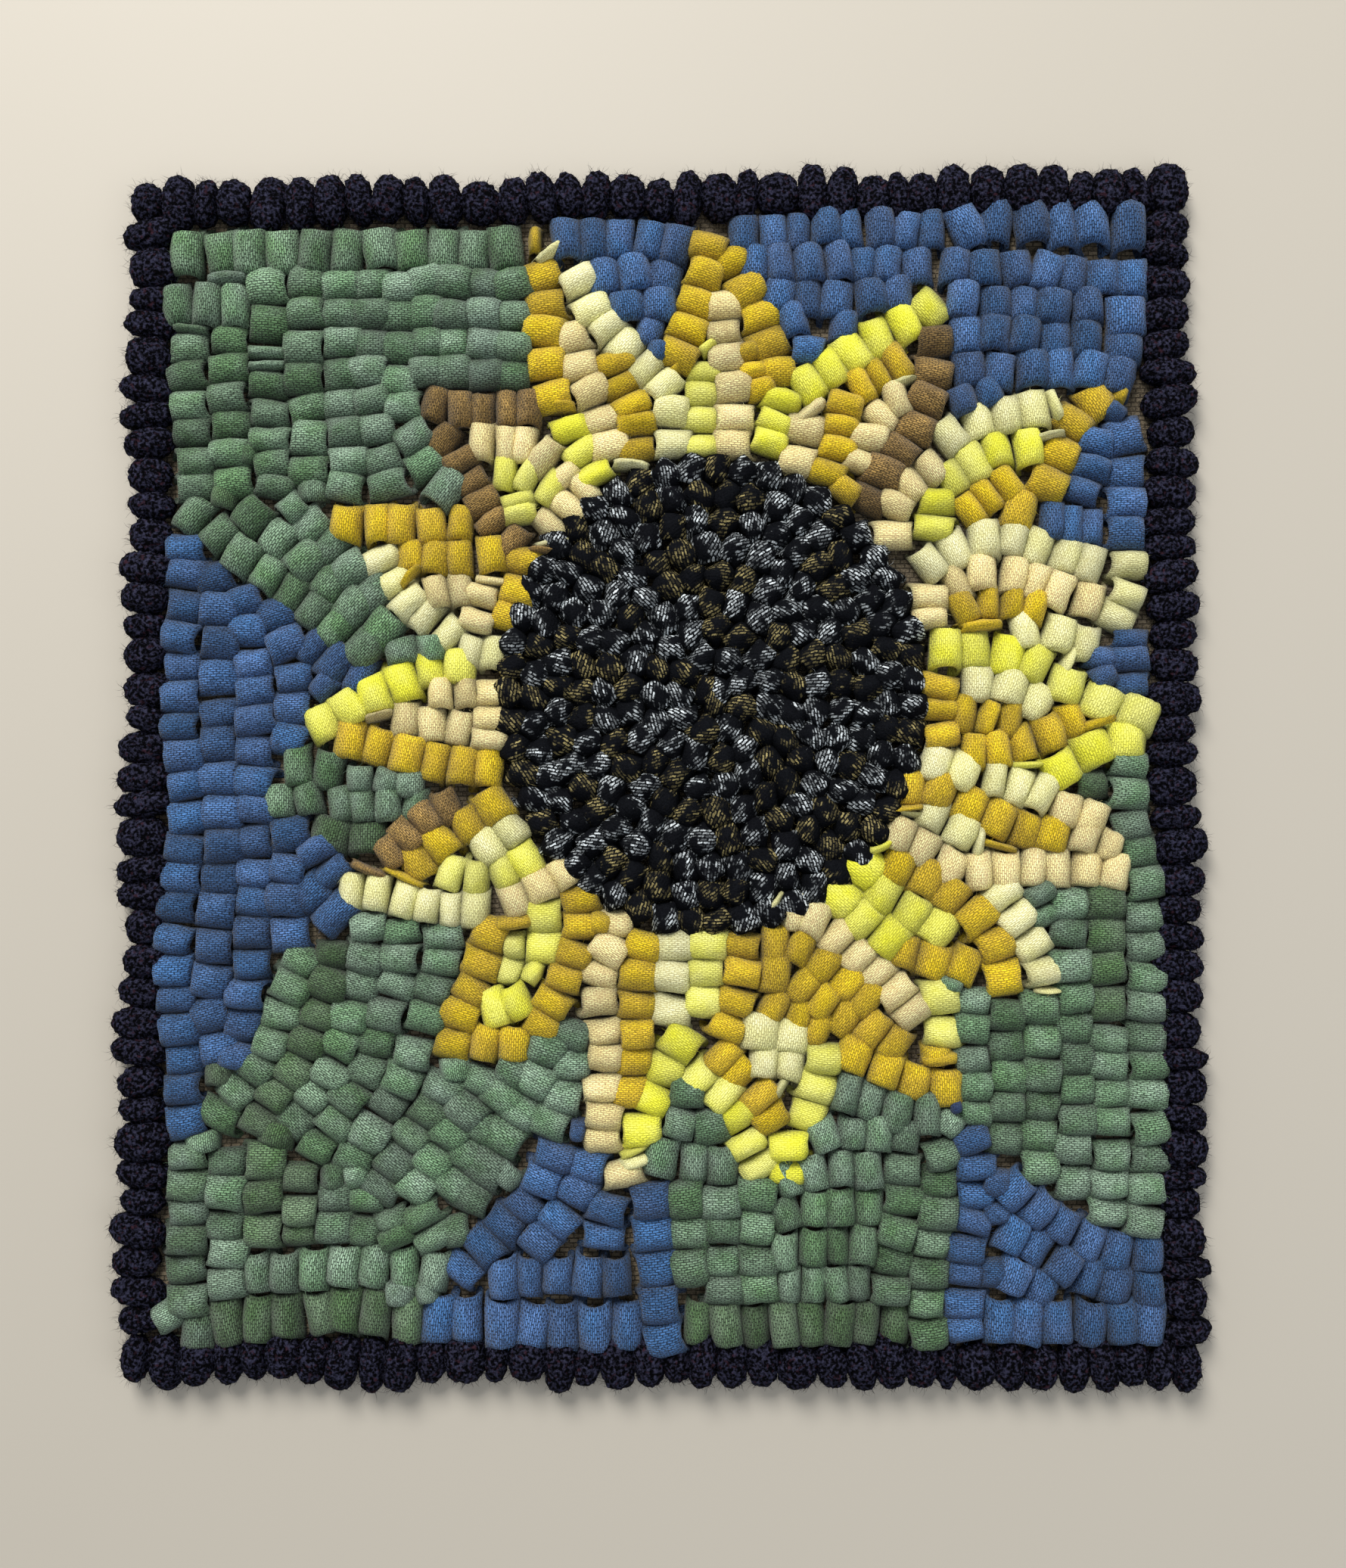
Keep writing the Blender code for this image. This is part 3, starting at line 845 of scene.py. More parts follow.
def make_row_tree():
    """The whole tree, with the inputs that a row can vary."""
    tree = bpy.data.node_groups.new("hooked_rows", "GeometryNodeTree")
    interface(tree, "INPUT", {
        "Geometry": "Geometry",
        "Shape": "Object",
        "Fibre": "Object",
        "Wool": "Material",
        "Jostle": ("Float", 0.35 * MM),
        "Tilt": ("Vector", (0.11, 0.17, 0.15)),
        "Lowest": ("Float", 0.80),
        "Narrowest": ("Float", 0.93),
        "Widest": ("Float", 1.07),
        "Rounding": ("Int", 1),
        "Dents per Metre": ("Float", 330.0),
        "Dent Depth": ("Float", 1.2 * MM),
        "Fibres per Square Metre": ("Float", 90000.0),
        "Longest Fibre": ("Float", 1.0),
        "Seed": ("Int", 0),
    })
    interface(tree, "OUTPUT", {"Geometry": "Geometry"})
    given = add(tree, "NodeGroupInput").outputs
    wool = soften(tree, given, place_shapes(tree, given, cut_row(tree, given)))
    joined = add(tree, "GeometryNodeJoinGeometry")
    tree.links.new(grow_fibres(tree, given, wool), joined.inputs[0])
    tree.links.new(wool, joined.inputs[0])
    laid = kept_above_table(tree, joined.outputs[0])
    smooth = add(tree, "GeometryNodeSetShadeSmooth", {0: laid}).outputs[0]
    finished = add(tree, "GeometryNodeSetMaterial", {0: smooth, "Material": given["Wool"]})
    add(tree, "NodeGroupOutput", {0: finished.outputs[0]})
    return tree


ROW_TREE = make_row_tree()
print("row tree nodes:", len(ROW_TREE.nodes))


def draw_guides(name, rows):
    """A mesh that holds each row as a chain of edges, with its numbers on its points."""
    vertices = []
    edges = []
    loops = []
    widths = []
    for each in rows:
        first = len(vertices)
        for x, y in each["guide"]:
            vertices.append(Vector((x, y, 0)) * MM + PATTERN_MIDDLE)
            loops.append(each["loops"])
            widths.append(each["wide"] * MM)
        edges += [(i, i + 1) for i in range(first, len(vertices) - 1)]
    mesh = bpy.data.meshes.new(name)
    mesh.from_pydata(vertices, edges, [])
    for attribute, values in (("loops", loops), ("wide", widths)):
        mesh.attributes.new(attribute, "FLOAT", "POINT").data.foreach_set("value", values)
    made = bpy.data.objects.new(name, mesh)
    scene.collection.objects.link(made)
    return made


def hook(name, rows, material, seed, shape=LOOP_SHAPE, **inputs):
    """Run the tree on these rows, and keep the result as a plain mesh."""
    guides = draw_guides(name + "_guides", rows)
    step = guides.modifiers.new("rows", "NODES")
    step.node_group = ROW_TREE
    values = {"Shape": shape, "Fibre": FIBRE_SHAPE, "Wool": material, "Seed": seed, **inputs}
    for socket in ROW_TREE.interface.items_tree:
        if socket.in_out == "INPUT" and socket.name in values:
            step[socket.identifier] = values[socket.name]
    depsgraph = bpy.context.evaluated_depsgraph_get()
    result = bpy.data.meshes.new_from_object(
        guides.evaluated_get(depsgraph), preserve_all_data_layers=True, depsgraph=depsgraph
    )
    bpy.data.objects.remove(guides)
    keep_layers(result)
    made = bpy.data.objects.new(name, result)
    scene.collection.objects.link(made)
    return made


def keep_layers(mesh):
    """Drop the tree's working numbers; the materials read only the UV map and the tone."""
    for name in ("run", "patch", "loops", "wide"):
        layer = mesh.attributes.get(name)
        if layer:
            mesh.attributes.remove(layer)


print("guides and hooking: draw_guides, hook, keep_layers")

# %% [markdown]
# ## The picture, row by row
#
# A hooker fills a drawn shape with rows, one strip at a time. So the picture is written
# the same way: each row has its wool, its number of loops and a few guide points in
# millimetres from the drawing's middle. A row of one loop is often the end of a strip,
# which stands up thin between its neighbours. Each wool gets a function of its own name.
#
# The petals come first. They crowd round the head, and each mixes three to five yellows
# in its own way, so no petal can stand for another. Three also hold strips of brown. These
# are the petals on the right, from the one left of the top to the one at the bottom.

# %%
PICTURE = {}  # the rows of each area


def row(wool, loops, *guide, wide=STRIP_WIDTH):
    """One strip: its wool, its loops, the path that it follows and its width."""
    return {"wool": wool, "loops": loops, "guide": guide, "wide": wide}


def draw(area, *rows):
    """Keep the rows that fill one area."""
    PICTURE[area] = rows


gold, lemon, butter, cream, peach, brown, fern, sage, mist, moss, blue, heather, deep = (
    partial(row, wool) for wool in WOOLS
)

draw(
    "petal_nnw",
    gold(5, (-27.5, 107.5), (-25.5, 98), (-26.5, 88), (-23, 76.5)),
    gold(1, (-29.8, 111), (-27.3, 110.5), wide=5.5),
    gold(1, (-23, 77), (-23, 75.2), wide=5.5),
    cream(1, (-25.4, 108.6), (-24.2, 106.8), wide=7.5),
    cream(8, (-20, 105.5), (-16.5, 97), (-12, 91.5), (-5, 84), (-0.5, 79.5), (-0.5, 67)),
    peach(5, (-21.5, 94), (-18.5, 83.5), (-14.5, 74), (-12, 66)),
    gold(5, (-12, 88), (-11, 82), (-8, 75), (-7.5, 66)),
    lemon(3, (-21, 74.5), (-20, 70), (-16.5, 64), (-15.5, 61)),
    cream(1, (-9, 65.2), (-9, 63.4), wide=7),
)
draw(
    "petal_n",
    gold(5, (7.5, 112.5), (6.5, 104), (4.5, 97), (2.5, 90), (0, 84.5)),
    gold(5, (11.5, 110), (13, 104), (16.5, 99), (18.5, 92), (21, 86), (21.5, 81)),
    gold(3, (14.5, 90), (16, 86), (17, 82), (18.5, 78), wide=5.5),
    gold(1, (0.5, 85), (1.8, 83), wide=7),
    peach(6, (10.5, 101), (10.5, 92), (12, 80), (12.3, 66.5)),
    butter(4, (6.8, 86.5), (6, 80), (5.5, 74), (5.5, 67)),
    butter(1, (6.5, 89), (8, 87.3), wide=4),
    lemon(3, (22.5, 80), (20.5, 74), (18.5, 66.5)),
)
draw(
    "petal_nne",
    lemon(6, (24.5, 79.5), (30, 83.5), (36, 88), (43, 91.5), (49.5, 95), (54.5, 99), wide=8),
    gold(7, (48, 87), (41, 83), (35, 78), (34, 71), (31, 61)),
    gold(1, (36.5, 62), (34, 58), wide=6),
    peach(4, (48, 79.5), (42, 75.5), (38, 63)),
    cream(1, (46.5, 82), (47.3, 80.2), wide=6),
    peach(2, (28, 75), (25, 63.5)),
    peach(1, (27, 77.3), (28.5, 75.4), wide=7),
    brown(7, (53, 93), (52.5, 80), (48.5, 71), (43.5, 64), (39, 55.5)),
)
draw(
    "petal_ne",
    cream(4, (53.5, 69), (62, 74), (71, 75.5), (77, 76.3)),
    cream(1, (77.5, 76.5), (79.5, 77), wide=6.5),
    peach(4, (55, 65.5), (48, 60.5), (44.5, 55), (45, 48.5)),
    butter(2, (54.5, 60.5), (59, 64), (64, 67.2)),
    lemon(2, (64, 67.4), (69, 68.5), (74.5, 68.5)),
    lemon(2, (53.8, 60.5), (53, 50)),
    gold(4, (89, 79.5), (81.5, 74), (78, 65), (74.5, 59)),
    gold(1, (89, 79.8), (91.5, 78.5), wide=3.5),
    gold(3, (58, 54), (62.5, 58), (70.5, 62.5)),
    gold(1, (68, 56.5), (73.5, 55)),
    cream(1, (76, 71.3), (76.5, 69.7), wide=7),
)
draw(
    "petal_ene",
    cream(7, (50, 43), (58, 48), (67, 50), (76, 47.5), (88, 43.5)),
    cream(3, (92.5, 47), (92.5, 40), (88.5, 31.5), wide=7),
    peach(6, (55.5, 39.5), (62, 42.5), (72, 42), (80, 38.5), (87, 37)),
    peach(2, (52, 40.8), (52, 31)),
    gold(4, (57, 34.8), (64, 37), (75, 35.5), wide=7),
    gold(1, (62, 32.8), (62, 30.8), wide=8),
    cream(3, (69, 30.8), (75, 31), (86, 28)),
    cream(1, (78.2, 25.5), (79.8, 24.8), wide=6),
)
draw(
    "petal_e",
    lemon(4, (51.5, 27), (58, 27.3), (66, 27), (76.5, 23.3)),
    butter(3, (76.5, 21.5), (84, 18), (91, 15), (97.5, 13)),
    cream(3, (58, 20.5), (65, 20.5), (69.5, 19), (76.5, 15.8)),
    gold(3, (54, 22), (53.5, 16.5), (54, 7.5)),
    gold(3, (57, 14.3), (62, 14.3), (70, 13)),
    gold(5, (58, 6.8), (66, 7), (72, 8.5), (77.5, 11.5), (83, 14.5), wide=7),
    gold(1, (86, 13), (86.8, 11.3), wide=8),
    lemon(3, (74.8, 1.5), (80.5, 4.5), (87.5, 8), (95.5, 9), wide=7),
    lemon(1, (72, 4.6), (72, 3), wide=7),
)
draw(
    "petal_ese",
    cream(2, (50.5, 5), (56, 3.8), (61.5, 1.3), wide=7),
    cream(3, (62.5, 1.3), (70, 0), (76.5, -3.3)),
    peach(2, (76.5, -4), (82, -6), (87.5, -8.5), wide=7),
    peach(2, (80.5, -10), (85, -11.5), (90, -13.2), wide=6),
    gold(6, (44.5, -0.5), (52, -0.5), (59, -3.8), (66, -7), (73, -9.5), (80.5, -11), wide=7.2),
    gold(1, (47, -3.6), (47, -5), wide=7),
    gold(1, (66.5, -12), (66, -13.5), wide=7),
    cream(2, (50, -5), (55, -7.3), (61, -10.3), wide=7),
    cream(1, (46.5, -5.5), (46.5, -7.2), wide=8),
    cream(1, (61.5, -11.5), (63, -12), wide=6),
    peach(3, (42.5, -9), (48, -11.5), (54, -15), (58.5, -18)),
    peach(6, (59, -17.5), (66, -17), (75, -17), (92, -17.5)),
)
draw(
    "petal_se",
    lemon(2, (40.5, -13), (37, -18.5), (31.5, -25.5), wide=8),
    lemon(1, (41.5, -12), (42.2, -13.8), wide=6),
    lemon(3, (40, -20), (46, -24.3), (56.5, -31)),
    lemon(2, (36, -25), (40, -28.5), (46, -33)),
    gold(6, (42, -15), (49, -17.8), (55, -21.5), (61, -26.5), (65, -32), (66.5, -42)),
    gold(3, (43.5, -33.5), (50, -34.8), (56, -36), (62, -38), wide=7),
    cream(4, (65, -20.5), (69.5, -27), (73, -33), (75, -39.5)),
    cream(1, (75.5, -40), (75.5, -41.8), wide=6),
)
draw(
    "petal_sse",
    gold(1, (49.5, -54), (55.5, -54.5), wide=4),
    peach(7, (21.5, -25.5), (28.5, -27), (34, -31.5), (39, -36), (43.5, -40), (50, -48.5)),
    butter(2, (54, -39.8), (55, -52.8)),
    gold(5, (18, -31.5), (22, -32), (28, -34), (33, -38.5), (41, -45.5)),
    gold(6, (18, -37.5), (24, -39), (29, -43), (34.5, -46.5), (40, -49.5), (47, -54.5)),
    gold(3, (17.5, -43.5), (24, -46.5), (32, -50)),
    gold(4, (34, -53), (39.5, -55.8), (46.5, -59.3), (58, -61)),
    gold(1, (54, -54.5), (54, -57), wide=7),
    cream(1, (20, -24), (21.5, -24.8), wide=6),
)
draw(
    "petal_s",
    gold(4, (13.8, -30), (13.5, -38), (12.5, -45), (9.5, -50.5)),
    gold(4, (8, -52), (12, -57), (16.5, -61.5), (21, -69.5)),
    cream(2, (13.5, -49), (20, -50), (27, -52), wide=7),
    cream(2, (15, -56.3), (20.5, -56.3), (27, -57.3), wide=6.5),
    butter(3, (30.5, -51.5), (29.5, -58), (26.5, -70)),
    cream(1, (21, -60.8), (22.6, -62), wide=4),
    butter(2, (2.3, -56.8), (7, -60.5), (12, -64.5), wide=7),
    lemon(1, (12, -64), (14.5, -69.5)),
    butter(2, (14, -70.5), (15, -74), (18.5, -78.8)),
    lemon(2, (23.3, -69.5), (23, -80.5)),
)
print("petals on the right:", len(PICTURE))

# %% [markdown]
# ## Petals on the left
#
# The other petals follow on, round the left and back up to the top.

# %%
draw(
    "petal_ssw",
    peach(9, (-11.5, -25.5), (-12, -31), (-15, -38), (-15.2, -45), (-13.5, -50), (-14, -60),
        (-14, -74)),
    peach(1, (-10.5, -76.2), (-9.5, -81.5)),
    cream(1, (-8, -75), (-7.6, -76.8), wide=6),
    gold(6, (-5, -29.8), (-6, -35), (-7.5, -41), (-7.5, -50), (-8, -56), (-8.5, -65), wide=7),
    cream(3, (0.5, -30), (0, -37), (-0.5, -48.5)),
    butter(3, (7.5, -29.2), (6.5, -37), (6, -47)),
    lemon(4, (3.5, -48.8), (-1, -55), (-3, -61), (-6.2, -66), (-6.8, -73)),
    butter(1, (-8, -73.3), (-7.5, -75), wide=6),
)
draw(
    "petal_sw",
    peach(3, (-20.5, -16.5), (-26, -20.5), (-34.5, -24.5), wide=6.5),
    gold(6, (-19, -20), (-18.5, -27), (-20, -34), (-22, -40), (-25, -45), (-28, -51.5)),
    gold(1, (-14.5, -25.5), (-15.5, -30.5), wide=4.5),
    gold(5, (-35.5, -27), (-38, -33), (-39.5, -39.5), (-42.5, -45), (-44.5, -56)),
    gold(2, (-40.8, -51.5), (-35, -52), (-28.5, -51.5)),
    gold(1, (-31.5, -25.5), (-31.5, -28.3), wide=8),
    butter(2, (-26.5, -23), (-26, -29), (-26.5, -36), wide=6.5),
    butter(2, (-31.3, -29), (-32, -35), (-34, -40), wide=4.5),
    butter(1, (-30, -36.5), (-27, -38.5), wide=4.5),
    lemon(2, (-28.5, -42.3), (-33, -43.8), (-39, -46.5)),
)
draw(
    "petal_wsw",
    brown(4, (-43, -3.5), (-48.5, -5.5), (-54, -10.5), (-59.5, -15.2), wide=7),
    brown(1, (-61.5, -16.8), (-62, -18.4), wide=7),
    gold(4, (-33.5, -3), (-39.5, -6.8), (-46, -11), (-50, -14.5), (-54, -17.5), wide=7.2),
    gold(1, (-54, -18.2), (-54.5, -19.7), wide=8),
    cream(2, (-30, -7), (-34.5, -10.5), (-40.5, -14), wide=7),
    lemon(1, (-27, -13.8), (-32.5, -16.5)),
    butter(3, (-32, -17), (-38, -19), (-47, -17.5), wide=7),
    cream(6, (-67, -21), (-60, -21.5), (-53, -23), (-46, -25), (-37.5, -25.2), wide=7),
)
draw(
    "petal_w",
    lemon(6, (-74, 11), (-66.5, 15.5), (-58, 19.5), (-50, 23), (-40, 24)),
    peach(3, (-36.5, 21.5), (-36.5, 14), (-37.5, 6.5), wide=7),
    peach(2, (-49.5, 17.8), (-44, 18.5), (-40.5, 18.3), wide=6.5),
    peach(3, (-57.5, 13.5), (-52, 12.5), (-46.5, 12), (-41, 11.3), wide=7),
    peach(1, (-59.5, 14.3), (-59.2, 12.6), wide=6),
    gold(6, (-68.5, 9.5), (-61, 8.3), (-55, 6.5), (-49, 5), (-42, 3.5), (-33.8, 3)),
)
draw(
    "petal_wnw",
    gold(5, (-68.5, 53), (-60, 52.5), (-50, 52.7), (-41, 52.7)),
    gold(4, (-56.5, 46), (-46, 46), (-34.5, 46.3), wide=7),
    gold(1, (-54, 42), (-52.4, 41), wide=6),
    gold(3, (-29.8, 48.5), (-30.5, 42), (-32, 36.5), (-34.5, 31)),
    cream(5, (-61, 48), (-57.5, 42), (-53, 36.5), (-49.5, 33), (-43.5, 29.3)),
    peach(2, (-50, 38.5), (-46, 39.2), (-41.5, 39.5), wide=6.5),
    peach(2, (-38.3, 40), (-39, 36), (-41, 31.5), wide=6.5),
    peach(1, (-36.5, 42.4), (-36.5, 40.8), wide=7),
    cream(2, (-44, 28), (-38.5, 27), (-33.5, 26), wide=6.5),
)
draw(
    "petal_nw",
    brown(5, (-51, 78), (-45, 76.5), (-27, 76.3), wide=7),
    brown(6, (-49, 71.5), (-44, 67), (-39.5, 59), (-36, 52.5), (-30.5, 48), wide=7),
    peach(5, (-41, 69.8), (-34, 69), (-26.5, 67.5), (-21.5, 61)),
    peach(3, (-16.5, 61.5), (-22, 55.5), (-27, 51)),
    butter(3, (-36, 63.5), (-31, 63), (-23.5, 59.5)),
    butter(2, (-32.5, 60), (-30.5, 52.5), wide=6.5),
    cream(1, (-25, 49.8), (-24.5, 48), wide=7),
    brown(1, (-25.5, 47.4), (-25.5, 45.8), wide=7),
)
print("all petals:", len(PICTURE))

# %% [markdown]
# ## Leaves
#
# The leaves are hooked in curved rows of four mottled greens that lie close together. A
# narrow single loop here and there fills a corner that a full strip can't reach.

# %%
draw(
    "leaf_upper_left",
    sage(1, (-79, 58.5), (-75.5, 54.5), wide=5),
    fern(1, (-88, 67), (-83.5, 67), wide=4),
    fern(1, (-77, 60.5), (-71, 60), wide=4.5),
    moss(1, (-93, 58.5), (-88, 57.5), wide=4),
    fern(11, (-102, 108.5), (-60, 109), (-31, 109.5), wide=8.5),
    mist(1, (-90.5, 104.5), (-90.5, 101.3), wide=8.5),
    sage(3, (-104, 97), (-98, 97.5), (-86.5, 97), wide=8.5),
    mist(1, (-98, 94), (-98, 91.8), wide=7),
    fern(6, (-99, 91.5), (-98.5, 80), (-97.5, 70), (-97, 57.5)),
    fern(6, (-90, 93.3), (-90.5, 86), (-90.5, 78), (-90, 70), (-89.5, 58.5)),
    fern(2, (-82.3, 105.3), (-82.3, 90.5)),
    sage(2, (-82.3, 89.8), (-82.3, 84.5)),
    fern(5, (-82.3, 84), (-82.3, 76), (-82, 70), (-81, 62), (-81.5, 57.5)),
    fern(7, (-75, 105.3), (-74.5, 95), (-75.5, 88), (-75, 80), (-73.5, 72), (-74, 60.5)),
    sage(8, (-68, 105), (-67.5, 97), (-67.5, 90), (-67.5, 80), (-67, 72), (-66, 62), (-68, 57)),
    sage(8, (-61.5, 105), (-61.3, 95), (-62, 87), (-61, 78), (-60, 70), (-58, 64), (-57, 57.5)),
    sage(8, (-56.5, 105), (-55.5, 97), (-55.5, 88), (-55.5, 79), (-54, 73), (-51, 67), (-48, 61),
        (-44, 58.5)),
    sage(4, (-51, 105.5), (-50, 97), (-50.5, 81), wide=6.5),
    sage(4, (-44.5, 105.5), (-45, 97), (-44.5, 80.8), wide=7),
    mist(4, (-38, 106), (-38.5, 97), (-38.5, 80.8), wide=7),
    fern(4, (-32.5, 104.5), (-32, 97), (-32, 90), (-32.8, 80), wide=6.8),
    fern(8, (-99, 56.5), (-91, 49.5), (-83, 43), (-75, 37), (-68, 31), (-61, 25.5)),
    fern(6, (-88, 56), (-81, 50.5), (-74.5, 45), (-68.5, 39), (-62, 34), (-57, 29.5)),
    sage(4, (-76, 55.5), (-71, 50.5), (-66, 45), (-61, 39), (-58.5, 36)),
    sage(2, (-58, 26), (-53, 27), (-46.5, 28.5), wide=5.5),
)
draw(
    "leaf_small_left",
    fern(2, (-78, 3), (-72, 3.5), (-66.5, 2.5)),
    sage(3, (-66, 1.8), (-59, 0.8), (-50, -0.5), wide=5),
    fern(2, (-82.3, -4), (-71, -2.8), wide=6.5),
    mist(4, (-70.5, -4.3), (-50, -4.3), wide=7),
    moss(2, (-73, -9.5), (-65, -11), (-58, -11), wide=6.5),
)
draw(
    "leaf_lower_left",
    moss(1, (-83, -69.5), (-76, -70.5), wide=5),
    fern(1, (-71, -78.5), (-65.5, -78.5), wide=5.5),
    sage(1, (-64.5, -76), (-62.5, -81), wide=5),
    moss(1, (-94.5, -58), (-89, -58.8), wide=4.5),
    sage(1, (-46, -57.5), (-40.5, -57.5), wide=5),
    fern(1, (-98, -71.5), (-92, -71.5), wide=4),
    mist(1, (-36, -76), (-31, -80), wide=5),
    sage(1, (-103, -104), (-100, -109), wide=6),
    fern(7, (-73.5, -32.5), (-77, -40), (-79, -48), (-82.5, -56), (-88, -62), (-92.5, -69)),
    moss(7, (-68, -32), (-69.5, -40), (-72.5, -49), (-75, -56), (-80, -63), (-85, -70)),
    sage(4, (-62, -26), (-61.5, -33), (-63, -41), (-65.5, -49)),
    fern(4, (-65.5, -49.5), (-68, -56), (-72.5, -63), (-77.5, -70)),
    sage(4, (-55.5, -27), (-54.5, -34), (-56.5, -42), (-58.5, -49)),
    fern(5, (-59, -49.5), (-60.5, -56), (-65, -63), (-69.5, -70), (-73, -75.5)),
    sage(4, (-46.8, -28), (-46.5, -35), (-48.5, -42), (-51, -50)),
    sage(5, (-51.5, -50.5), (-53.5, -57), (-57.5, -64), (-62, -71), (-66, -77.5)),
    mist(5, (-44.5, -58.5), (-47.5, -64), (-52, -70), (-56.5, -77), (-60, -84)),
    sage(5, (-37, -57), (-40, -63.5), (-44.5, -69.8), (-49, -76.5), (-53, -84)),
    sage(5, (-30, -54.5), (-33, -61), (-37, -67.5), (-41.5, -75), (-46, -83)),
    sage(6, (-24, -49.5), (-26.5, -57), (-30, -64), (-34, -71), (-38.5, -79), (-42, -86.5)),
    sage(4, (-19, -47), (-20.5, -54), (-22, -62), (-26.5, -71)),
    mist(6, (-97, -72), (-97.5, -84), (-97.5, -95), (-96.5, -106), wide=7.6),
    sage(5, (-89.8, -73), (-89.5, -86), (-89.3, -103.5)),
    moss(3, (-82, -72.5), (-82, -93)),
    moss(3, (-74.8, -76.5), (-74.8, -93), wide=7),
    sage(2, (-68, -80), (-68, -92.5), wide=7),
    fern(2, (-61.5, -81), (-61.8, -92.5), wide=6.5),
    fern(2, (-57.5, -85), (-54.5, -93), wide=6.5),
    fern(2, (-51, -84.5), (-47.5, -93)),
    fern(1, (-44.5, -87), (-42.5, -93), wide=5),
    sage(7, (-86, -98), (-76, -97.5), (-61, -96.7), (-45, -97.5), wide=8),
    moss(7, (-92, -108), (-80, -107), (-65, -105.5), (-50.5, -107.5), wide=8.8),
    mist(1, (-98.5, -109.5), (-92, -110)),
    mist(2, (-56.5, -102.5), (-46.5, -102), wide=4.5),
)
draw(
    "leaf_bottom",
    sage(2, (3.5, -59), (2, -65.5), (0, -71), wide=6.5),
    sage(1, (7, -66), (7.8, -73), wide=6.5),
    sage(3, (-5, -74.5), (2, -75.5), (13, -76.5)),
    fern(3, (2.5, -79.5), (3.5, -90), (4, -100.5)),
    sage(4, (9.8, -80.5), (10, -92), (10.5, -104.5)),
    fern(4, (17, -79.5), (17, -92), (17.5, -104.5)),
    moss(8, (2.8, -108), (20, -108.3), (47, -108), wide=8.5),
    fern(7, (53.5, -71), (54, -80), (52.5, -88), (51, -98), (51, -112.5)),
    fern(5, (46, -75), (46.5, -83), (44.5, -92), (43.5, -104)),
    sage(4, (32.5, -62), (38, -62.8), (46, -66), (53.5, -66.5), wide=8),
    sage(4, (27.5, -72), (33, -69.5), (42, -70.5), (50, -71.5), wide=6.5),
    sage(4, (21, -80.5), (28, -77.5), (42, -77.8), wide=7),
    fern(4, (20.5, -87), (28, -85), (42.5, -85.3), wide=7),
    fern(4, (20.5, -93.5), (30, -92.5), (41, -92.8), wide=7),
    sage(4, (21, -100.3), (40, -100), wide=7),
)
draw(
    "leaf_right",
    sage(1, (53, -66), (58, -69), wide=5),
    sage(16, (92.5, 7), (91.5, -3), (93.5, -10), (95, -20), (95.5, -35), (95.5, -50), (95.5, -65),
        (95.5, -80), (94, -90.5)),
    moss(4, (86.8, -20.5), (87.3, -33), (87.8, -47.5)),
    sage(7, (88, -48), (88, -60), (88, -74), (86.5, -88.5)),
    sage(10, (79.8, -20.8), (80, -35), (81, -50), (81, -65), (80, -83)),
    sage(2, (73, -20.5), (76, -29), wide=6),
    fern(6, (74, -42), (74.3, -55), (73.8, -68), (73.5, -80.5)),
    fern(5, (67, -43.5), (67.3, -55), (67, -66), (66, -74), wide=7),
    sage(5, (60.5, -40.8), (60.5, -52), (61, -69.5), wide=7),
    sage(1, (53.5, -39.3), (58, -40.3), wide=2.5),
    moss(1, (84.3, 2.5), (84.3, -3.5), wide=6),
)
print("petals and leaves:", len(PICTURE))

# %% [markdown]
# ## Sky
#
# The sky is hooked last, in the seven patches that the flower and leaves leave open. Nearly
# all of it is one blue; heather is a blue close to it that is dyed less evenly, and one
# strip end is much darker.

# %%
draw(
    "sky_left",
    blue(1, (-72, -25), (-67, -29), wide=5),
    blue(20, (-99, 51.5), (-98.5, 44), (-99.5, 30), (-99.5, 15), (-98.5, 0), (-98.8, -15),
        (-101, -30), (-100.5, -42), (-98.5, -55), (-98, -70.5)),
    heather(15, (-93.5, 45), (-92, 36), (-92, 20), (-92, 5), (-91, -10), (-91.7, -25), (-93, -35),
        (-93.5, -44), (-91, -56)),
    blue(16, (-87.5, 40), (-85.8, 33), (-85, 20), (-84.5, 8), (-84.5, -5), (-84.5, -20),
        (-85, -33), (-86.3, -45), (-88.5, -57)),
    blue(5, (-81.5, 37.5), (-79, 30), (-77, 23), (-76.5, 16), (-78, 6)),
    blue(4, (-77.5, -7), (-77, -14), (-78, -22), (-77.5, -33)),
    blue(3, (-75.5, 30.5), (-71.5, 26.5), (-66, 23), (-61, 20.8)),
    blue(1, (-72, 21.5), (-68, 18), wide=6),
    blue(2, (-72.5, -11), (-67, -19.8)),
    blue(2, (-75.5, -19), (-71, -23.8), (-65.5, -28)),
)
draw(
    "sky_top",
    blue(5, (-25, 110.5), (-14, 111), (-4, 111.5), (4, 109.5), wide=8),
    blue(3, (-17.5, 103), (-8, 104), (1.5, 103.5)),
    blue(2, (-13.5, 97.5), (-7, 97.8), (0.5, 98), wide=6.5),
    blue(1, (-7.5, 93), (-2, 92), wide=6),
    blue(1, (-5.5, 88.5), (-1.5, 88.5), wide=4),
)
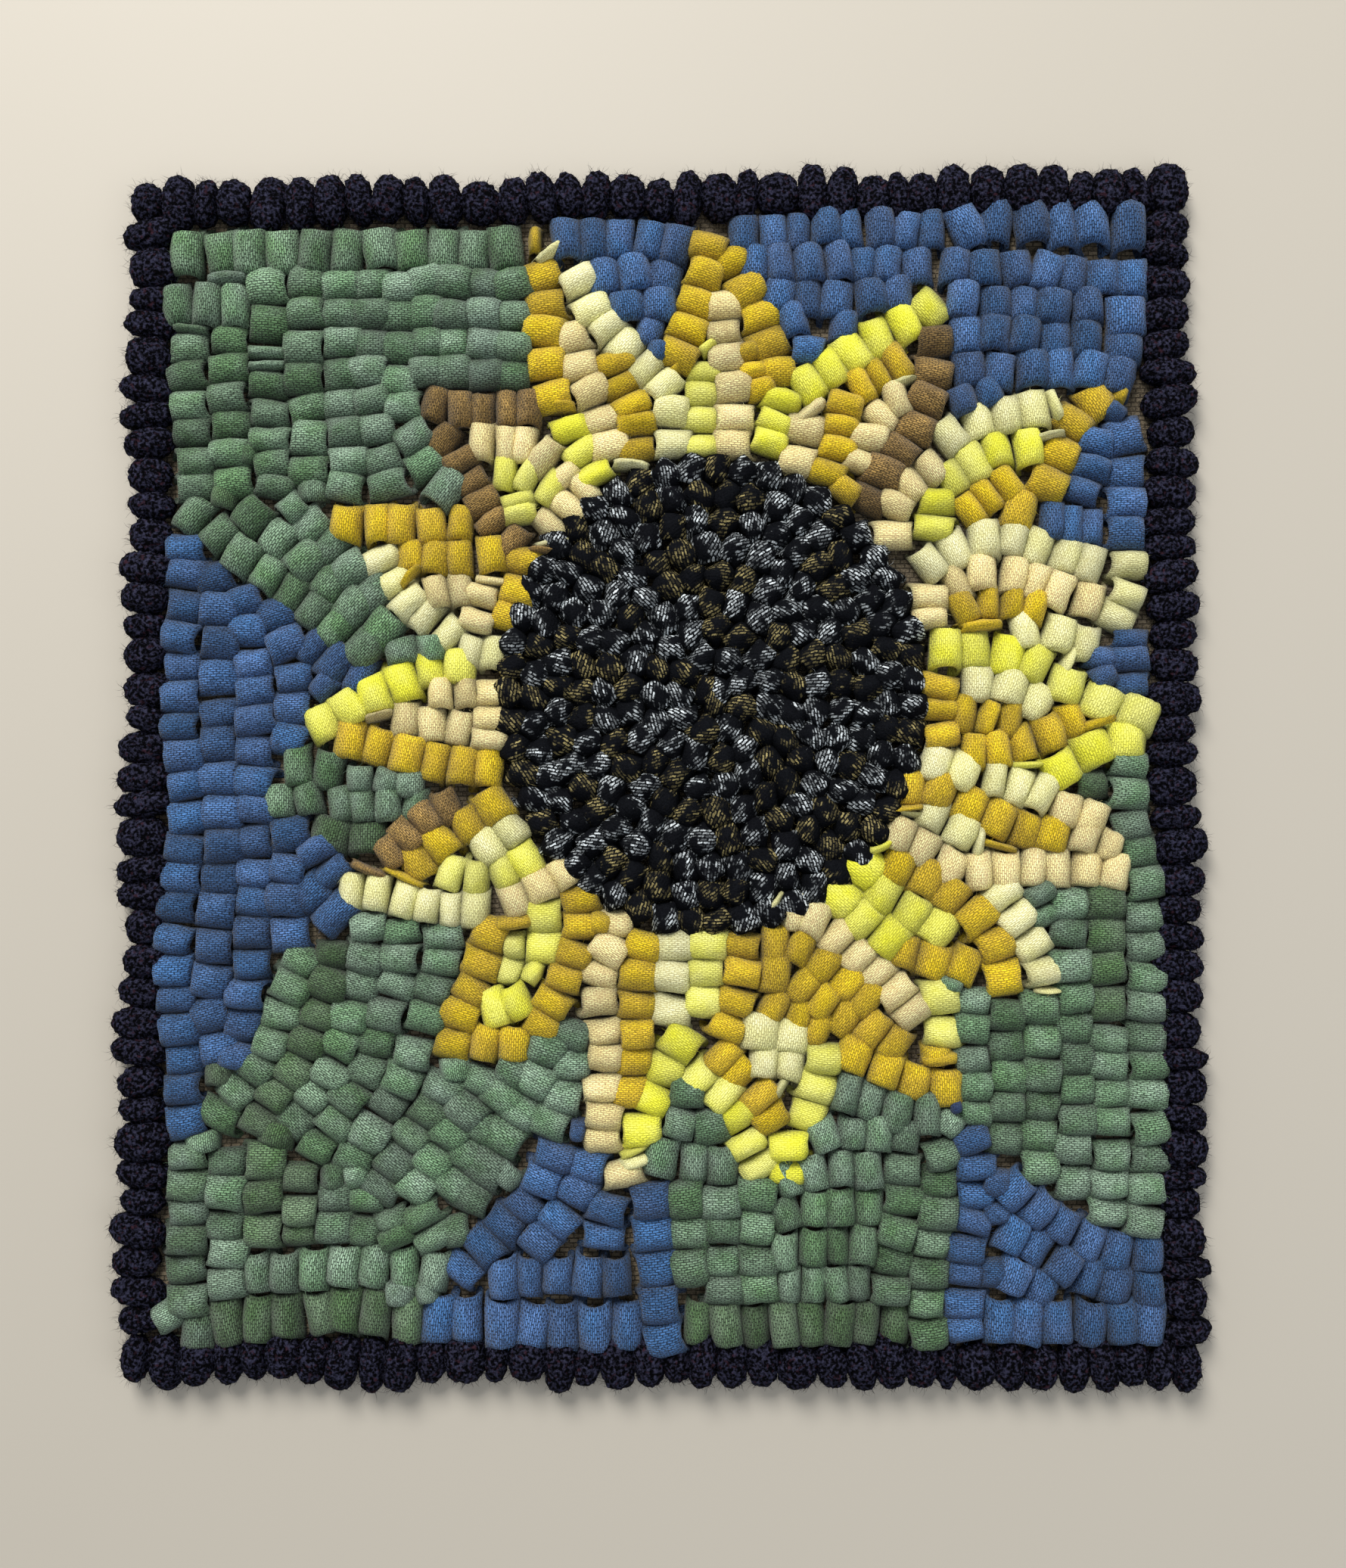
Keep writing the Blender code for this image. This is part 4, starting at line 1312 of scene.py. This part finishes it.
draw(
    "sky_top_right",
    blue(8, (12, 111.5), (25, 113), (42, 113.5), (55.5, 113), wide=8),
    heather(6, (57, 112.5), (63, 115), (77, 114.5), (96, 114), wide=9),
    blue(7, (14, 106.5), (24, 106), (36, 106.3), (52.5, 106)),
    blue(7, (54.5, 106), (64, 104.5), (73, 105.5), (82, 103.5), (97, 103.5)),
    blue(5, (18, 100), (28, 98.7), (38, 98.7), (49, 100.5)),
    blue(5, (56, 99.5), (66, 98), (76, 98), (87, 97.3), wide=7),
    blue(1, (88.5, 95.5), (96, 95.5)),
    blue(1, (22, 94), (27, 95), wide=7),
    blue(1, (28, 91.5), (28, 86), wide=6.5),
    blue(1, (31.5, 94), (37, 93.5), wide=6.5),
    blue(5, (56.5, 91.5), (65, 91.5), (75, 91), (87, 90.5)),
    blue(1, (88, 88.8), (95, 88.8), wide=6),
    blue(6, (57, 84.5), (65, 84.5), (74, 84.7), (84, 84.7), (94.5, 83)),
    blue(2, (57, 77.5), (67, 80), wide=6),
)
draw(
    "sky_right_upper",
    blue(4, (91.5, 74), (92.3, 65), (92, 47.5)),
    blue(3, (87, 71.5), (85, 63.5), (82.5, 57.5), wide=6.5),
    blue(3, (74.5, 54), (80, 53), (88, 52)),
    blue(1, (88, 74.5), (91, 77.5), wide=4),
)
draw(
    "sky_right_lower",
    blue(3, (92.5, 32), (92.7, 25), (93.5, 17.5), wide=7),
    blue(2, (86.8, 28), (86.5, 23), (88.5, 19), wide=5.5),
)
draw(
    "sky_bottom",
    blue(6, (-23, -71.5), (-26, -80), (-32, -87), (-38, -93), (-44, -99.5)),
    blue(4, (-16.5, -73), (-18, -80), (-23.5, -87), (-29, -94)),
    blue(2, (-12.5, -83), (-14.5, -93.5)),
    blue(5, (-4.5, -79.8), (-3.8, -92), (-2.5, -102), (-1, -114.5)),
    heather(5, (-37, -99.5), (-24, -98.5), (-8.5, -98.5)),
    blue(7, (-50.5, -106.8), (-37, -107.5), (-25, -109), (-6, -108.5), wide=9),
    blue(1, (-18.5, -67), (-18.8, -71), wide=3),
)
draw(
    "sky_bottom_right",
    heather(2, (65.3, -77), (64.8, -88), wide=5),
    blue(1, (64, -95.5), (64, -101.5), wide=5),
    blue(8, (59.5, -69), (61, -78), (60, -87), (58.5, -97), (58.5, -112)),
    blue(6, (66.5, -79.5), (72, -84.5), (79, -89), (87, -93.5), (98, -94.5)),
    blue(6, (65, -88), (70.5, -91.5), (77.5, -96), (86, -100), (98, -101)),
    blue(2, (65.5, -96.5), (71, -99.5), (77, -102), wide=7),
    blue(6, (62, -107.5), (75, -108), (99, -107.5), wide=8.5),
    deep(1, (56.2, -62.5), (56.2, -65.5), wide=2.5),
)
print("areas:", len(PICTURE))

# %% [markdown]
# ## Hooking the picture
#
# Each area's rows go to the tree one wool at a time, because a piece has one material.
# Every piece stands for its area's plain solid. The seed numbers follow the order of the
# pieces, so the mat comes out the same each time.

# %%
FIRST_SEED = 100
SEED_STEP = 10  # an area has fewer wools than this
FIBRES = {"green_wool": 170000.0, "blue_wool": 170000.0}  # for each square metre
SMOOTH_WOOL_FIBRES = 90000.0


def sorted_by_wool(rows):
    """The rows of an area, grouped by the wool that they are hooked in."""
    groups = {}
    for each in rows:
        groups.setdefault(each["wool"], []).append(each)
    return groups


def hook_area(area, rows, first_seed):
    """Hook one area of the picture."""
    made = []
    for number, (wool, group) in enumerate(sorted_by_wool(rows).items()):
        slot = WOOLS[wool][0]
        inputs = {"Fibres per Square Metre": FIBRES.get(slot, SMOOTH_WOOL_FIBRES)}
        piece = hook(
            area + "_" + wool, group, WOOL_MATERIALS[wool], first_seed + number, **inputs
        )
        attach(piece, "root")
        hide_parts(area)
        made.append(piece)
    return made


pieces = []
for index, (area, rows) in enumerate(PICTURE.items()):
    pieces += hook_area(area, rows, FIRST_SEED + SEED_STEP * index)
print("hooked pieces:", len(pieces), "loops:", sum(
    each["loops"] for rows in PICTURE.values() for each in rows))

# %% [markdown]
# ## Seed head
#
# The head is hooked in rings, from the rim to the middle. A ring is an ellipse, so its
# guide comes from the formula and not from a list.

# %%
HEAD_MIDDLE = (7.8, 18.2)
HEAD_HALF_WIDTH = 43.4
HEAD_HALF_LENGTH = 48.8
HEAD_RINGS = 9
HEAD_PITCH = 5.4
HEAD_STRIP_WIDTH = 5.9
HEAD_SEED = 7
RING_GUIDES = 24
RING_TURN = 0.7  # radians from where one ring starts to where the next does


def make_head_rows():
    """A closed row for each ring."""
    rows = []
    for ring in range(HEAD_RINGS):
        share = 1 - (ring + 0.5) / HEAD_RINGS
        half_width = HEAD_HALF_WIDTH * share
        half_length = HEAD_HALF_LENGTH * share
        around = math.pi * (half_width + half_length)
        guide = []
        for i in range(RING_GUIDES + 1):
            turn = RING_TURN * ring + 2 * math.pi * i / RING_GUIDES
            x = HEAD_MIDDLE[0] + half_width * math.cos(turn)
            guide.append((x, HEAD_MIDDLE[1] + half_length * math.sin(turn)))
        rows.append(row("tweed", round(around / HEAD_PITCH), *guide, wide=HEAD_STRIP_WIDTH))
    return rows


head = hook(
    "seed_head_tweed", make_head_rows(), TWEED, HEAD_SEED,
    **{"Fibres per Square Metre": 60000.0, "Dent Depth": 0.9 * MM, "Lowest": 0.92,
       "Tilt": (0.08, 0.08, 1.0), "Longest Fibre": 1.8},
)
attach(head, "root")
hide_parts("seed_head")
print("head faces:", len(head.data.polygons))

# %% [markdown]
# ## Whipped edge
#
# The same tree sews the edge, with the bead in place of the loop and many more fibres.
# Each side follows the edge of the loops, whose four corners are the drawing's own.

# %%
FIELD_CORNERS = [(-103, -111), (98.5, -112.5), (96.5, 117.5), (-102.5, 114.5)]
STITCH_PITCH = 6.1
STITCH_WIDTH = 10.9
STITCH_REACH = 4.1  # from the loops' edge out to the middle of a stitch
EDGE_BENDS = 14  # stretches between guide points, along one side
EDGE_SWAY = 0.8  # how far the line of stitches wanders to either side
CORNER_RUN = 8.0  # how far the top and bottom sides run past the loops
EDGE_SEED = 40
SIDES = ("whipping_bottom", "whipping_right", "whipping_top", "whipping_left")
YARN_INPUTS = {
    "Jostle": 1.25 * MM,
    "Tilt": (0.07, 0.05, 0.20),
    "Lowest": 0.84,
    "Narrowest": 0.88,
    "Widest": 1.22,
    "Rounding": 2,
    "Dents per Metre": 800.0,
    "Dent Depth": 1.7 * MM,
    "Fibres per Square Metre": 1100000.0,
    "Longest Fibre": 1.5,
}


def whip_edge(number):
    """Sew one side of the mat, along the edge of the loops."""
    name = SIDES[number]
    start = Vector(FIELD_CORNERS[number])
    end = Vector(FIELD_CORNERS[(number + 1) % 4])
    along = (end - start).normalized()
    outwards = Vector((along.y, -along.x)) * STITCH_REACH
    spare = along * (CORNER_RUN if number % 2 == 0 else 0)
    first = start + outwards - spare
    last = end + outwards + spare
    count = round((last - first).length / STITCH_PITCH)
    guide = []
    for i in range(EDGE_BENDS + 1):
        sway = math.sin(2.3 * i + number) * EDGE_SWAY * outwards.normalized()
        guide.append(tuple(first.lerp(last, i / EDGE_BENDS) + sway))
    line = [row("navy", count, *guide, wide=STITCH_WIDTH)]
    seed = EDGE_SEED + number
    made = hook(name + "_yarn", line, YARN, seed, shape=STITCH_SHAPE, **YARN_INPUTS)
    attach(made, "root")
    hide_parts(name)
    return made


for number in range(4):
    side = whip_edge(number)
    print(side.name, "faces:", len(side.data.polygons))

# %% [markdown]
# ## Linen foundation
#
# The cloth under the loops is a sheet with a hem inside the whipping. Little of it shows,
# in narrow gaps between the rows and between the runs on the back, so a fine grid with the
# threads in its finish is enough. Its own waves come from the pull of the loops.

# %%
LINEN_CELL = 3.0  # millimetres
LINEN_THICKNESS = 0.7
WAVE_HEIGHT = 0.12
WAVES = (1.7, 1.3)  # radians for each cell, across and along


def make_linen_sheet():
    """A wavy grid as large as the cloth, with a thickness."""
    low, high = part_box("linen_foundation")
    middle = (low.z + high.z) / 2
    across = round((high.x - low.x) / (LINEN_CELL * MM))
    along = round((high.y - low.y) / (LINEN_CELL * MM))
    vertices = []
    places = []
    for j in range(along + 1):
        for i in range(across + 1):
            x = low.x + (high.x - low.x) * i / across
            y = low.y + (high.y - low.y) * j / along
            wave = math.sin(i * WAVES[0]) * math.cos(j * WAVES[1]) * WAVE_HEIGHT * MM
            vertices.append((x, y, middle + wave))
            places.append((x / MM, y / MM))
    stride = across + 1
    faces = [
        (a, a + 1, a + stride + 1, a + stride)
        for j in range(along)
        for a in range(j * stride, j * stride + across)
    ]
    mesh = bpy.data.meshes.new("linen_cloth")
    mesh.from_pydata(vertices, [], faces)
    mesh.materials.append(LINEN)
    made = bpy.data.objects.new("linen_cloth", mesh)
    scene.collection.objects.link(made)
    map_strip(made, places)
    mesh.shade_smooth()
    wall = made.modifiers.new("thickness", "SOLIDIFY")
    wall.thickness = LINEN_THICKNESS * MM
    wall.offset = 0
    return made, (high.x - low.x, high.y - low.y)


linen, linen_size = make_linen_sheet()
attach(linen, "root")
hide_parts("linen_foundation")
print("linen, in metres:", [round(v, 4) for v in linen_size])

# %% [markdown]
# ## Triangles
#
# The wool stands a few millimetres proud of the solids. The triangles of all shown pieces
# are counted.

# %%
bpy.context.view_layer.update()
shown = [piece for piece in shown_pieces() if piece.type == "MESH"]
print("triangles:", sum(len(p.vertices) - 2 for o in shown for p in o.data.polygons))
